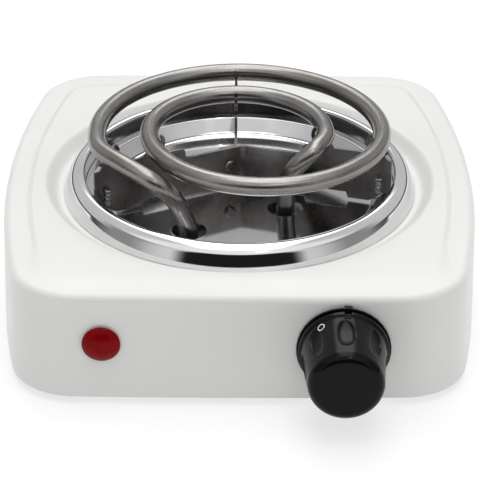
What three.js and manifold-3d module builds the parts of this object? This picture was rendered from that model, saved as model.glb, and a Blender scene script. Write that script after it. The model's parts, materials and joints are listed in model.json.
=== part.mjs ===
// Single-burner electric hot plate with a tubular coil element, built as separate named pieces.
// Millimetres, +Z up, front towards -Y. Inside the assembly, z = 0 is the housing's lower edge.
import * as THREE from "three";
import { mergeVertices } from "three/addons/utils/BufferGeometryUtils.js";
import Module from "manifold-3d";

const wasm = await Module();
wasm.setup();

// ---- Driving dimensions ----

const GAP = 0.3; // between two pieces that touch
const HOLE_CLEARANCE = 0.3; // radial, between a shank and its hole
const ROUND_SEGMENTS = 48; // large turned pieces
const KNOB_SEGMENTS = 36;
const MEDIUM_SEGMENTS = 16; // feet, lens, gland
const SMALL_SEGMENTS = 12; // screws, pins, bushes

// Housing: a pressed steel shell, nearly square, with bowed sides
const HOUSING_WIDTH = 215;
const HOUSING_DEPTH = 223.7;
const HOUSING_HEIGHT = 49.1; // lower edge to rim
const SIDE_BOW = 14.8; // height of each side's arc
const END_BOW = 1.84; // height of the front's and back's arc
const CORNER_RADIUS = 29.5;
const WALL_DRAFT = 1.26; // how far the wall leans out at its lower edge
const RIM_FILLET = 3.5;
const SHEET = 1; // pressed steel thickness
const PLATEAU_RISE = 1; // the top panel's raised middle
const PLATEAU_SLOPE = 2;
const PLATEAU_SIDE_INSET = 10;
const PLATEAU_END_INSET = 13;
const PLATEAU_CORNER_RADIUS = 14;
const FOOT_STANDOFF = 4; // lower edge above the table

// Burner well in the top panel, and the pieces that lie in it
const BURNER_Y = -2.5; // burner's axis, from the housing's middle
const CREST_RADIUS = 73; // where the trim ring is highest; the burner's other radii follow it
const RING_SKIRT = 8.2; // crest to the ring's outer edge
const RING_SHEET = 0.8;
const RING_LAP = 6.2; // ring over the well's ledge
const WELL_MARGIN = 1.8; // ring's edge to the foot of the well's slope
const WELL_SLOPE = 5.5;
const WELL_LEDGE_HEIGHT = 45;
const CREST_OUTER_ROUND = 6;
const CREST_INNER_ROUND = 1.8;
const CREST_HEIGHT = 9.8; // above the ring's own foot
const BOWL_SHEET = 0.8;
const BOWL_LEDGE_WIDTH = 3.9;
const BOWL_DEPTH = 6; // ledge to floor
const LEG_HOLE_RADIUS = 8.2;

// Coil element
const SHEATH_RADIUS = 4.19;
const COIL_HEIGHT = 72.55; // centreline
const COIL_MARGIN = 6.1; // outer turn's centreline to the ring's bore
const INNER_TURN_RADIUS = 41.4;
const INNER_TURN_END_RADIUS = 39;
const OUTER_TURN_START = 196; // degrees, counted anticlockwise from +X
const OUTER_TURN_END = 5;
const INNER_TURN_START = -175;
const INNER_TURN_END = -368;
const LEG_A = { x: -22.8, y: -37 }; // front left leg, from the burner's axis
const LEG_B = { x: 21, y: -15 };
const LEG_END_HEIGHT = 30;

// Three-armed support under the coil
const SUPPORT_SHEET = 1.2;
const APEX = { x: 1, y: 7.5 };
const LEFT_ARM_ANGLE = 206.3;
const RIGHT_ARM_ANGLE = -15.8;
const REAR_ARM_X = -1.8;
const ARM_TIP_CLEARANCE = 1; // arm's tip to the ring's bore
const ARM_FLOOR_GAP = 1.3; // arm's lower edge above the bowl's floor
const ARM_TIP_HEIGHT = 64;
const ARM_TOP_HEIGHT = 66.9;
const HUB_TOP_HEIGHT = 62;
const HUB_LENGTH = 27;
const HOOK_CLEARANCE = 0.6;
const HOOK_WIDTH = 1.7;
const HOOK_END_ANGLE = 150; // how far the hook comes up round the sheath
const RIVET_RADIUS = 1.3;

// Knob and dial
const KNOB_X = 44.4;
const KNOB_Z = 25.1;
const KNOB_REACH = 32.5; // front face from the wall
const SKIRT_RADIUS = 19.6;
const KNOB_BASE_RADIUS = 18.4;
const KNOB_NOSE_RADIUS = 16.2;
const KNOB_SHOULDER = 4.5;
const KNOB_WALL = 2.2;
const KNOB_HUB_RADIUS = 6;
const KNOB_HUB_START = 5;
const KNOB_BACK = 2.3; // skirt's back face from the wall
const DIMPLES = 8;
const DIMPLE_WIDTH = 7.6;
const DIMPLE_LENGTH = 17;
const DIMPLE_DEPTH = 2.2;
const BEZEL_RADIUS = 20.2;
const BEZEL_BACK = 0.9; // clears the wall, which leans forward below
const BEZEL_SHEET = 1;
const SHAFT_RADIUS = 3;
const SHAFT_FLAT = 2.2; // flat's distance from the axis
const SHAFT_END = 20;
const PIN_RADIUS = 1.6;
const BUSH_RADIUS = 4.9;
const THERMOSTAT_WIDTH = 9;

// Indicator lamp
const LAMP_X = -58.4;
const LAMP_Z = 26.7;
const LENS_RADIUS = 8.2;
const LENS_REACH = 4.6;
const LAMP_BODY_RADIUS = 5.5;
const LAMP_BODY_LENGTH = 20;

// Base and feet
const BASE_HEIGHT = 2; // underside, above the housing's lower edge
const BASE_CLEARANCE = 0.5;
const FOOT_X = 78;
const FOOT_Y = 84;
const FOOT_RADIUS = 9;
const FOOT_SCREW_RADIUS = 2;
const TAB_SIZE = 34;

// Mains inlet and terminals
const GLAND_X = -45;
const GLAND_Z = 16;
const GLAND_RADIUS = 8;
const GLAND_BORE = 3.6;
const GLAND_REACH = 6;
const BLOCK_Y = 84;
const BLOCK_LENGTH = 42;
const BLOCK_DEPTH = 14;
const BLOCK_HEIGHT = 12;
const POLE_SPACING = 12;
const LEAD_RADIUS = 1.2;
const LEAD_BORE = 1.8;
const LEAD_SIDES = 6;

// ---- Sizes that follow from them ----

const PANEL_TOP = HOUSING_HEIGHT + PLATEAU_RISE;
const RING_FOOT = WELL_LEDGE_HEIGHT + GAP;
const CREST_TOP = RING_FOOT + CREST_HEIGHT;
const RING_RADIUS = CREST_RADIUS + RING_SKIRT;
const RING_BORE = CREST_RADIUS - CREST_INNER_ROUND;
const WELL_OPENING_RADIUS = RING_RADIUS - RING_LAP;
const WELL_FOOT_RADIUS = RING_RADIUS + WELL_MARGIN;
const WELL_RIM_RADIUS = WELL_FOOT_RADIUS + WELL_SLOPE;
const BOWL_RIM_RADIUS = RING_BORE - GAP;
const BOWL_LEDGE_RADIUS = BOWL_RIM_RADIUS - BOWL_LEDGE_WIDTH;
const BOWL_FLOOR_RADIUS = BOWL_LEDGE_RADIUS - BOWL_DEPTH;
const RING_FLANGE_RADIUS = BOWL_LEDGE_RADIUS + BOWL_SHEET / 2 + GAP; // carries the bowl
const OUTER_TURN_RADIUS = RING_BORE - COIL_MARGIN;
const ARM_TIP_RADIUS = RING_BORE - ARM_TIP_CLEARANCE;
const BOWL_LEDGE = RING_FOOT + RING_SHEET + GAP + BOWL_SHEET;
const BOWL_FLOOR = BOWL_LEDGE - BOWL_DEPTH;
const ARM_FOOT = BOWL_LEDGE + GAP;
const BASE_TOP = BASE_HEIGHT + SHEET;
const TAB_HEIGHT = BASE_TOP + GAP;
const FOOT_HOLE_RADIUS = FOOT_SCREW_RADIUS + HOLE_CLEARANCE;

const rim = {
  width: HOUSING_WIDTH,
  depth: HOUSING_DEPTH,
  sideBow: SIDE_BOW,
  endBow: END_BOW,
  corner: CORNER_RADIUS,
};
const plateau = {
  width: HOUSING_WIDTH - 2 * PLATEAU_SIDE_INSET,
  depth: HOUSING_DEPTH - 2 * PLATEAU_END_INSET,
  sideBow: SIDE_BOW,
  endBow: END_BOW,
  corner: PLATEAU_CORNER_RADIUS,
};

// ---- Materials ----

function finish(color, roughness, metalness) {
  return new THREE.MeshStandardMaterial({ color, roughness, metalness });
}

const whitePaint = finish(0xeeeeea, 0.35, 0);
const zincSteel = finish(0xa9adb0, 0.45, 0.9);
const chrome = finish(0xe4e6e8, 0.08, 1);
const sheathSteel = finish(0x77716b, 0.4, 0.9);
const supportSteel = finish(0x8d8a86, 0.35, 0.9);
const blackPlastic = finish(0x121212, 0.2, 0);
const blackRubber = finish(0x1c1c1c, 0.8, 0);
const redLens = finish(0xa01212, 0.15, 0);
const whitePlastic = finish(0xdcdcd6, 0.5, 0);
const ceramic = finish(0xe6ded0, 0.7, 0);
const brass = finish(0xc2a35a, 0.35, 1);
const leadInsulation = finish(0xb8b4a6, 0.7, 0);
const earthInsulation = finish(0x6f9a3a, 0.7, 0);

// ---- Solids ----

const radians = THREE.MathUtils.degToRad;

// A closed geometry as a manifold solid with its faces outwards, whichever way its profile ran.
function solid(geometry) {
  const bare = geometry.clone();
  for (const name of Object.keys(bare.attributes)) {
    if (name !== "position") bare.deleteAttribute(name);
  }
  const merged = mergeVertices(bare, 1e-4);
  const vertProperties = new Float32Array(merged.attributes.position.array);
  const triVerts = new Uint32Array(merged.index.array);
  const made = new wasm.Manifold(new wasm.Mesh({ numProp: 3, vertProperties, triVerts }));
  if (made.volume() > 0) return made;
  triVerts.reverse();
  return new wasm.Manifold(new wasm.Mesh({ numProp: 3, vertProperties, triVerts }));
}

function geometryOf(manifold) {
  const { vertProperties, triVerts } = manifold.getMesh();
  const geometry = new THREE.BufferGeometry();
  geometry.setAttribute("position", new THREE.BufferAttribute(vertProperties, 3));
  geometry.setIndex(new THREE.BufferAttribute(triVerts, 1));
  geometry.computeVertexNormals();
  return geometry;
}

function place(parent, name, shape, material) {
  const geometry = shape.isBufferGeometry ? geometryOf(solid(shape)) : geometryOf(shape);
  const mesh = new THREE.Mesh(geometry, material);
  mesh.name = name;
  parent.add(mesh);
}

// Solid of revolution about Z from [radius, height] points.
function turned(profile, segments = SMALL_SEGMENTS) {
  const points = profile.map(([r, z]) => new THREE.Vector2(r, z));
  return new THREE.LatheGeometry(points, segments).rotateX(Math.PI / 2);
}

// Closes a profile that stays off the axis.
function hollow(profile, segments = SMALL_SEGMENTS) {
  return turned([...profile, profile[0]], segments);
}

function disc(radius, bottom, top, segments = SMALL_SEGMENTS) {
  return turned([[0, bottom], [radius, bottom], [radius, top], [0, top]], segments);
}

function sleeve(outer, inner, bottom, top, segments = SMALL_SEGMENTS) {
  return hollow([[inner, bottom], [outer, bottom], [outer, top], [inner, top]], segments);
}

// Box from its lowest to its highest corner.
function box([x0, y0, z0], [x1, y1, z1]) {
  const geometry = new THREE.BoxGeometry(x1 - x0, y1 - y0, z1 - z0);
  return geometry.translate((x0 + x1) / 2, (y0 + y1) / 2, (z0 + z1) / 2);
}

// Cylinder along Y, for holes in the front and back walls.
function crossBore(radius, x, z, y0, y1) {
  return disc(radius, y0, y1).rotateX(-Math.PI / 2).translate(x, 0, z);
}

// Points on an arc from angle a to angle b; the last one is left to the next stretch.
function arc(x, y, radius, a, b, count) {
  return Array.from({ length: count }, (_, i) => {
    const t = a + ((b - a) * i) / count;
    return [x + radius * Math.cos(t), y + radius * Math.sin(t)];
  });
}

function extruded(points, bottom, top, holes = []) {
  const shape = new THREE.Shape(points.map(([x, y]) => new THREE.Vector2(x, y)));
  shape.holes = holes.map((hole) => new THREE.Path(hole.map(([x, y]) => new THREE.Vector2(x, y))));
  const geometry = new THREE.ExtrudeGeometry(shape, { depth: top - bottom, bevelEnabled: false });
  return geometry.translate(0, 0, bottom);
}

function tube(curve, radius, steps, sides) {
  const ring = arc(0, 0, radius, 0, 2 * Math.PI, sides).map(([x, y]) => new THREE.Vector2(x, y));
  return new THREE.ExtrudeGeometry(new THREE.Shape(ring), { extrudePath: curve, steps });
}

// ---- Housing ----

const SIDE_POINTS = 7;
const CORNER_POINTS = 5;
const END_POINTS = 3;

function arcRadius(halfChord, height) {
  return (halfChord ** 2 + height ** 2) / (2 * height);
}

// Rounded square of eight arcs that meet tangentially, moved in by inset.
function outline({ width, depth, sideBow, endBow, corner }, inset = 0) {
  const sideRadius = arcRadius(depth / 2, sideBow);
  const endRadius = arcRadius(width / 2, endBow);
  const sideX = width / 2 - sideRadius;
  const endY = depth / 2 - endRadius;
  const span = Math.hypot(sideX, endY);
  const fromSide = sideRadius - corner;
  const along = (fromSide ** 2 - (endRadius - corner) ** 2 + span ** 2) / (2 * span);
  const across = Math.sqrt(fromSide ** 2 - along ** 2);
  const cornerX = sideX - (along * sideX + across * endY) / span;
  const cornerY = (along * endY - across * sideX) / span;
  const sideEnd = Math.atan2(cornerY, cornerX - sideX);
  const endStart = Math.atan2(cornerY - endY, cornerX);
  const half = [
    ...arc(sideX, 0, sideRadius - inset, -sideEnd, sideEnd, SIDE_POINTS),
    ...arc(cornerX, cornerY, corner - inset, sideEnd, endStart, CORNER_POINTS),
    ...arc(0, endY, endRadius - inset, endStart, Math.PI - endStart, END_POINTS),
    ...arc(-cornerX, cornerY, corner - inset, Math.PI - endStart, Math.PI - sideEnd, CORNER_POINTS),
  ];
  return [...half, ...half.map(([x, y]) => [-x, -y])];
}

// The wall leans outwards towards its lower edge.
function flare(geometry) {
  const position = geometry.attributes.position;
  for (let i = 0; i < position.count; i++) {
    const lean = WALL_DRAFT * (1 - position.getZ(i) / HOUSING_HEIGHT);
    position.setX(i, position.getX(i) * (1 + (2 * lean) / HOUSING_WIDTH));
    position.setY(i, position.getY(i) * (1 + (2 * lean) / HOUSING_DEPTH));
  }
  return geometry;
}

// Block with a rounded top edge; the matching lower round is cut away.
function pressedBlock(points, bottom, top, roundIn, roundDown, steps, shaped = (g) => g) {
  const shape = new THREE.Shape(points.map(([x, y]) => new THREE.Vector2(x, y)));
  const geometry = new THREE.ExtrudeGeometry(shape, {
    depth: top - bottom - roundDown,
    bevelSize: roundIn,
    bevelOffset: -roundIn,
    bevelThickness: roundDown,
    bevelSegments: steps,
  });
  const reach = HOUSING_WIDTH + HOUSING_DEPTH;
  const below = box([-reach, -reach, bottom - reach], [reach, reach, bottom]);
  return solid(shaped(geometry.translate(0, 0, bottom))).subtract(solid(below));
}

// Outer face of the front and back walls at a place on the wall.
function wallFace(x, z) {
  const endRadius = arcRadius(HOUSING_WIDTH / 2, END_BOW);
  const bowed = HOUSING_DEPTH / 2 - endRadius + Math.sqrt(endRadius ** 2 - x ** 2);
  return bowed + WALL_DRAFT * (1 - z / HOUSING_HEIGHT);
}

function footPlaces() {
  return [[-1, -1], [1, -1], [-1, 1], [1, 1]].map(([sx, sy]) => [sx * FOOT_X, sy * FOOT_Y]);
}

// Everything above the well's pressed sheet, and the opening through it.
function wellSpace() {
  const below = WELL_LEDGE_HEIGHT - 3 * SHEET;
  const above = PANEL_TOP + SHEET;
  const profile = [
    [0, below],
    [WELL_OPENING_RADIUS, below],
    [WELL_OPENING_RADIUS, WELL_LEDGE_HEIGHT],
    [WELL_FOOT_RADIUS, WELL_LEDGE_HEIGHT],
    [WELL_RIM_RADIUS, PANEL_TOP],
    [WELL_RIM_RADIUS, above],
    [0, above],
  ];
  return turned(profile, ROUND_SEGMENTS).translate(0, BURNER_Y, 0);
}

function wellSheet() {
  const profile = [
    [WELL_OPENING_RADIUS, WELL_LEDGE_HEIGHT],
    [WELL_FOOT_RADIUS, WELL_LEDGE_HEIGHT],
    [WELL_RIM_RADIUS, PANEL_TOP],
    [WELL_RIM_RADIUS + 2 * SHEET, PANEL_TOP],
    [WELL_RIM_RADIUS + 2 * SHEET, PANEL_TOP - SHEET],
    [WELL_RIM_RADIUS + SHEET / 2, PANEL_TOP - SHEET],
    [WELL_FOOT_RADIUS + SHEET / 2, WELL_LEDGE_HEIGHT - SHEET],
    [WELL_OPENING_RADIUS, WELL_LEDGE_HEIGHT - SHEET],
  ];
  return hollow(profile, ROUND_SEGMENTS).translate(0, BURNER_Y, 0);
}

// Inward tabs in the four corners, which the foot screws hold.
function cornerTabs(outside) {
  const tabs = footPlaces().map(([x, y]) => {
    const inner = [x - Math.sign(x) * FOOT_RADIUS, y - Math.sign(y) * FOOT_RADIUS];
    const outer = [x + Math.sign(x) * TAB_SIZE, y + Math.sign(y) * TAB_SIZE];
    const low = [Math.min(inner[0], outer[0]), Math.min(inner[1], outer[1]), TAB_HEIGHT];
    const high = [Math.max(inner[0], outer[0]), Math.max(inner[1], outer[1]), TAB_HEIGHT + SHEET];
    const hole = disc(FOOT_HOLE_RADIUS, TAB_HEIGHT - SHEET, TAB_HEIGHT + 2 * SHEET).translate(x, y, 0);
    return solid(box(low, high)).subtract(solid(hole));
  });
  return tabs.reduce((all, tab) => all.add(tab)).intersect(outside);
}

function housing() {
  const outside = pressedBlock(outline(rim), 0, HOUSING_HEIGHT, RIM_FILLET, RIM_FILLET, 3, flare);
  const innerFillet = RIM_FILLET - SHEET;
  const innerTop = HOUSING_HEIGHT - SHEET;
  const cavity = pressedBlock(outline(rim, SHEET), -SHEET, innerTop, innerFillet, innerFillet, 2, flare);
  const raised = pressedBlock(
    outline(plateau), HOUSING_HEIGHT - SHEET / 2, PANEL_TOP, PLATEAU_SLOPE, PLATEAU_RISE, 1,
  );
  const raisedCavity = pressedBlock(
    outline(plateau, SHEET), innerTop - SHEET / 2, PANEL_TOP - SHEET, PLATEAU_SLOPE, PLATEAU_RISE, 1,
  );
  const shaftHole = BUSH_RADIUS + HOLE_CLEARANCE;
  const lampHole = LAMP_BODY_RADIUS + HOLE_CLEARANCE;
  const glandHole = GLAND_BORE + 2 * SHEET + HOLE_CLEARANCE;
  const front = HOUSING_DEPTH / 2 + RIM_FILLET;
  const behind = HOUSING_DEPTH / 2 - 2 * RIM_FILLET;
  return outside
    .add(raised)
    .subtract(cavity)
    .subtract(raisedCavity)
    .subtract(solid(wellSpace()))
    .add(solid(wellSheet()))
    .add(cornerTabs(outside))
    .subtract(solid(crossBore(shaftHole, KNOB_X, KNOB_Z, -front, -behind)))
    .subtract(solid(crossBore(lampHole, LAMP_X, LAMP_Z, -front, -behind)))
    .subtract(solid(crossBore(glandHole, GLAND_X, GLAND_Z, behind, front)));
}

// ---- Base, feet and their screws ----

const VENT_LENGTH = 26;
const VENT_WIDTH = 4;
const VENT_SPACING = 12;
const VENTS_PER_ROW = 9;
const VENT_ROWS = [-38, 20];

function vent(x, y) {
  const straight = (VENT_LENGTH - VENT_WIDTH) / 2;
  const upper = arc(x, y + straight, VENT_WIDTH / 2, 0, Math.PI, 3);
  const lower = arc(x, y - straight, VENT_WIDTH / 2, Math.PI, 2 * Math.PI, 3);
  return [...upper, [x - VENT_WIDTH / 2, y + straight], ...lower, [x + VENT_WIDTH / 2, y - straight]];
}

function roundHole(x, y, radius) {
  return arc(x, y, radius, 0, 2 * Math.PI, SMALL_SEGMENTS);
}

function basePlate() {
  const first = (-VENT_SPACING * (VENTS_PER_ROW - 1)) / 2;
  const vents = VENT_ROWS.flatMap((y) =>
    Array.from({ length: VENTS_PER_ROW }, (_, i) => vent(first + i * VENT_SPACING, y)),
  );
  const screws = footPlaces().map(([x, y]) => roundHole(x, y, FOOT_HOLE_RADIUS));
  const [blockX, blockY] = blockScrewPlace();
  const fixings = [
    roundHole(blockX, blockY, BLOCK_SCREW_RADIUS + HOLE_CLEARANCE),
    roundHole(EARTH_X, EARTH_Y, BLOCK_SCREW_RADIUS + HOLE_CLEARANCE),
  ];
  const lean = WALL_DRAFT * (1 - BASE_TOP / HOUSING_HEIGHT);
  const points = outline(rim, SHEET + BASE_CLEARANCE - lean);
  return extruded(points, BASE_HEIGHT, BASE_TOP, [...vents, ...screws, ...fixings]);
}

const FOOT_SEAT = -1; // screw head's seat inside the foot
const FOOT_POCKET_RADIUS = 4.6;
const SCREW_HEAD_RADIUS = 3.8;
const SCREW_HEAD_HEIGHT = 2.2;

function foot() {
  const top = BASE_HEIGHT - GAP;
  return hollow([
    [FOOT_HOLE_RADIUS, top],
    [FOOT_RADIUS - 1, top],
    [FOOT_RADIUS, top - 1],
    [FOOT_RADIUS - 0.6, -FOOT_STANDOFF],
    [FOOT_POCKET_RADIUS, -FOOT_STANDOFF],
    [FOOT_POCKET_RADIUS, FOOT_SEAT],
    [FOOT_HOLE_RADIUS, FOOT_SEAT],
  ], MEDIUM_SEGMENTS);
}

// Screw with its tip up; seat is the height of the head's upper face.
function screw(shank, head, headHeight, seat, tip) {
  return turned([
    [0, seat - headHeight],
    [head - 0.4, seat - headHeight],
    [head, seat - headHeight + 0.5],
    [head, seat],
    [shank, seat],
    [shank, tip - shank / 2],
    [shank / 2, tip],
    [0, tip],
  ]);
}

function placeFeet(parent) {
  footPlaces().forEach(([x, y], i) => {
    const seat = FOOT_SEAT - GAP;
    const tip = TAB_HEIGHT + 3 * SHEET;
    const bolt = screw(FOOT_SCREW_RADIUS, SCREW_HEAD_RADIUS, SCREW_HEAD_HEIGHT, seat, tip);
    place(parent, `foot_${i + 1}`, foot().translate(x, y, 0), blackRubber);
    place(parent, `foot_screw_${i + 1}`, bolt.translate(x, y, 0), zincSteel);
  });
}

// ---- Trim ring and drip bowl ----

function trimRing() {
  const crestZ = CREST_TOP - CREST_OUTER_ROUND;
  const innerZ = CREST_TOP - CREST_INNER_ROUND;
  const out = RING_RADIUS - CREST_RADIUS;
  const down = RING_FOOT - crestZ;
  const lean = Math.atan2(down, out) + Math.acos(CREST_OUTER_ROUND / Math.hypot(out, down));
  const top = Math.PI / 2;
  const underOuter = CREST_OUTER_ROUND - RING_SHEET;
  const underInner = CREST_INNER_ROUND - RING_SHEET;
  const flangeTop = RING_FOOT + RING_SHEET;
  const outer = [
    [RING_RADIUS, RING_FOOT],
    ...arc(CREST_RADIUS, crestZ, CREST_OUTER_ROUND, lean, top, 3),
    ...arc(CREST_RADIUS, innerZ, CREST_INNER_ROUND, top, Math.PI, 3),
    [RING_BORE, innerZ],
    [RING_BORE, flangeTop],
    [RING_FLANGE_RADIUS, flangeTop],
  ];
  const under = [
    [RING_FLANGE_RADIUS, RING_FOOT],
    [RING_BORE + RING_SHEET, RING_FOOT],
    ...arc(CREST_RADIUS, innerZ, underInner, Math.PI, top, 2),
    ...arc(CREST_RADIUS, crestZ, underOuter, top, lean, 3),
    [RING_RADIUS - RING_SHEET / Math.cos(lean), RING_FOOT],
  ];
  return hollow([...outer, ...under], ROUND_SEGMENTS);
}

function dripBowl() {
  const under = BOWL_SHEET;
  const dish = turned([
    [0, BOWL_FLOOR - under],
    [BOWL_FLOOR_RADIUS + under / 2, BOWL_FLOOR - under],
    [BOWL_LEDGE_RADIUS + under / 2, BOWL_LEDGE - under],
    [BOWL_RIM_RADIUS, BOWL_LEDGE - under],
    [BOWL_RIM_RADIUS, BOWL_LEDGE],
    [BOWL_LEDGE_RADIUS, BOWL_LEDGE],
    [BOWL_FLOOR_RADIUS, BOWL_FLOOR],
    [0, BOWL_FLOOR],
  ], ROUND_SEGMENTS);
  const holes = [LEG_A, LEG_B].map(({ x, y }) =>
    solid(disc(LEG_HOLE_RADIUS, BOWL_FLOOR - 3, BOWL_FLOOR + 3, MEDIUM_SEGMENTS).translate(x, y, 0)),
  );
  return solid(dish).subtract(holes[0]).subtract(holes[1]);
}

// ---- Coil element ----

const SHEATH_SIDES = 10;
const SHEATH_STEPS = 100;

function coilRadius(degrees) {
  const start = OUTER_TURN_END;
  const shrink = THREE.MathUtils.smoothstep(-degrees, -start, -INNER_TURN_START);
  const settle = THREE.MathUtils.smoothstep(-degrees, -INNER_TURN_START, -INNER_TURN_END);
  const spiral = THREE.MathUtils.lerp(OUTER_TURN_RADIUS, INNER_TURN_RADIUS, shrink);
  return spiral - settle * (INNER_TURN_RADIUS - INNER_TURN_END_RADIUS);
}

// Up the front left leg, round the outer turn over the back, in along the front, round the
// inner turn and down the second leg.
function sheathCurve() {
  const points = [];
  const add = (x, y, z) => points.push(new THREE.Vector3(x, y, z));
  add(LEG_A.x, LEG_A.y, LEG_END_HEIGHT);
  add(LEG_A.x, LEG_A.y, LEG_END_HEIGHT + 6);
  add(LEG_A.x, LEG_A.y, LEG_END_HEIGHT + 12);
  add(LEG_A.x - 3.2, LEG_A.y - 2.4, COIL_HEIGHT - 20);
  add(LEG_A.x - 7.5, LEG_A.y - 4.6, COIL_HEIGHT - 11.2);
  add(LEG_A.x - 14.8, LEG_A.y - 5, COIL_HEIGHT - 4.4);
  add(LEG_A.x - 27, LEG_A.y + 3.5, COIL_HEIGHT - 0.8);
  const turn = OUTER_TURN_START - INNER_TURN_END;
  const count = Math.round(turn / 15);
  for (let i = 0; i <= count; i++) {
    const degrees = OUTER_TURN_START - (turn * i) / count;
    const radius = coilRadius(degrees);
    const t = radians(degrees);
    add(radius * Math.cos(t), radius * Math.sin(t), COIL_HEIGHT);
  }
  add(LEG_B.x + 12.5, LEG_B.y - 1, COIL_HEIGHT - 1.5);
  add(LEG_B.x + 4.8, LEG_B.y - 3.4, COIL_HEIGHT - 8);
  add(LEG_B.x + 0.6, LEG_B.y - 0.8, COIL_HEIGHT - 18);
  add(LEG_B.x, LEG_B.y, LEG_END_HEIGHT + 12);
  add(LEG_B.x, LEG_B.y, LEG_END_HEIGHT + 6);
  add(LEG_B.x, LEG_B.y, LEG_END_HEIGHT);
  return new THREE.CatmullRomCurve3(points, false, "centripetal");
}

const SEAL_LENGTH = 5.3;
const SEAL_RADIUS = 3.6;
const TERMINAL_RADIUS = 1.6;
const TERMINAL_END = 12;
const BRIDGE_SHEET = 1.5;
const BRIDGE_WIDTH = 13;
const BRIDGE_DROP = 6;
const BRIDGE_OVERHANG = 8;

// Ceramic seal and terminal pin in the lower end of one leg.
function placeLegEnd(parent, suffix, { x, y }) {
  const sealTop = LEG_END_HEIGHT - GAP;
  const bore = TERMINAL_RADIUS + HOLE_CLEARANCE;
  const seal = sleeve(SEAL_RADIUS, bore, sealTop - SEAL_LENGTH, sealTop);
  const pin = disc(TERMINAL_RADIUS, TERMINAL_END, sealTop - GAP);
  place(parent, `element_seal_${suffix}`, seal.translate(x, y, 0), ceramic);
  place(parent, `element_terminal_${suffix}`, pin.translate(x, y, 0), zincSteel);
}

// Strap welded under the bowl, with a hole round each leg.
function elementBridge() {
  const top = BOWL_FLOOR - BOWL_SHEET - GAP;
  const web = top - BRIDGE_DROP;
  const half = Math.hypot(LEG_B.x - LEG_A.x, LEG_B.y - LEG_A.y) / 2;
  const end = half + BRIDGE_OVERHANG;
  const side = BRIDGE_WIDTH / 2;
  const parts = [box([-end, -side, web], [end, side, web + BRIDGE_SHEET])];
  for (const sign of [-1, 1]) {
    const xs = [sign * (end - BRIDGE_SHEET), sign * end].sort((a, b) => a - b);
    const flange = [sign * (end - BRIDGE_SHEET), sign * (end + 7)].sort((a, b) => a - b);
    parts.push(box([xs[0], -side, web], [xs[1], side, top]));
    parts.push(box([flange[0], -side, top - BRIDGE_SHEET], [flange[1], side, top]));
  }
  const holes = [-half, half].map((x) =>
    disc(SHEATH_RADIUS + HOLE_CLEARANCE, web - 1, web + 3, MEDIUM_SEGMENTS).translate(x, 0, 0),
  );
  const strap = parts.map(solid).reduce((all, part) => all.add(part));
  const bored = holes.map(solid).reduce((all, hole) => all.subtract(hole), strap);
  return geometryOf(bored)
    .rotateZ(Math.atan2(LEG_B.y - LEG_A.y, LEG_B.x - LEG_A.x))
    .translate((LEG_A.x + LEG_B.x) / 2, (LEG_A.y + LEG_B.y) / 2, 0);
}

// ---- Coil support ----

// Distances along an arm at which it passes under the coil, and the coil's height there.
function crossings(start, degrees) {
  const direction = [Math.cos(radians(degrees)), Math.sin(radians(degrees))];
  const samples = sheathCurve().getPoints(600);
  const found = [];
  const side = (p) => direction[0] * (p.y - start.y) - direction[1] * (p.x - start.x);
  for (let i = 1; i < samples.length; i++) {
    const [a, b] = [side(samples[i - 1]), side(samples[i])];
    if (a * b > 0) continue;
    const p = samples[i - 1].clone().lerp(samples[i], a / (a - b));
    const distance = direction[0] * (p.x - start.x) + direction[1] * (p.y - start.y);
    if (distance > HUB_LENGTH) found.push({ distance, height: p.z });
  }
  return found.sort((a, b) => a.distance - b.distance);
}

// How far from start the arm reaches the circle of the given radius round the burner's axis.
function reachTo(start, degrees, radius) {
  const [dx, dy] = [Math.cos(radians(degrees)), Math.sin(radians(degrees))];
  const along = start.x * dx + start.y * dy;
  return -along + Math.sqrt(along ** 2 - start.x ** 2 - start.y ** 2 + radius ** 2);
}

// Hook that carries the sheath and comes up round its inner side.
function hook({ distance, height }) {
  const inner = SHEATH_RADIUS + HOOK_CLEARANCE;
  const outer = inner + HOOK_WIDTH;
  const [from, to] = [radians(HOOK_END_ANGLE), radians(310)];
  const points = [
    ...arc(distance, height, outer, from, to, 9),
    [distance + outer * Math.cos(to), height + outer * Math.sin(to)],
    ...arc(distance, height, inner, to, from, 9),
    [distance + inner * Math.cos(from), height + inner * Math.sin(from)],
  ];
  return extruded(points, -SUPPORT_SHEET / 2, SUPPORT_SHEET / 2);
}

// One arm: a plate on edge, drawn as distance along the arm and height, then stood up.
function arm(start, degrees, hubTop) {
  const length = reachTo(start, degrees, ARM_TIP_RADIUS);
  const lower = BOWL_FLOOR + ARM_FLOOR_GAP;
  const footStart = length - (ARM_TIP_RADIUS - BOWL_LEDGE_RADIUS);
  const tubes = crossings(start, degrees);
  const outerTube = tubes[tubes.length - 1].distance;
  const plate = extruded([
    [0, lower],
    [footStart - BOWL_DEPTH - 1, lower],
    [footStart, ARM_FOOT],
    [length, ARM_FOOT],
    [length, ARM_TIP_HEIGHT],
    [outerTube + 3.5, ARM_TIP_HEIGHT],
    [outerTube + 2, ARM_TOP_HEIGHT],
    ...arc(HUB_LENGTH + 4, ARM_TOP_HEIGHT - 2, 2, Math.PI / 2, Math.PI, 4),
    ...arc(HUB_LENGTH, hubTop + 2, 2, 0, -Math.PI / 2, 4),
    [0, hubTop],
  ], -SUPPORT_SHEET / 2, SUPPORT_SHEET / 2);
  const tubeSpaces = tubes.map(({ distance, height }) => {
    const space = disc(SHEATH_RADIUS + HOOK_CLEARANCE, -SHEET, SHEET, MEDIUM_SEGMENTS);
    return solid(space.translate(distance, height, 0));
  });
  const hooked = tubes.map((tubeAt) => solid(hook(tubeAt))).reduce((all, h) => all.add(h), solid(plate));
  return { shape: tubeSpaces.reduce((all, space) => all.subtract(space), hooked), start, degrees };
}

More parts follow.
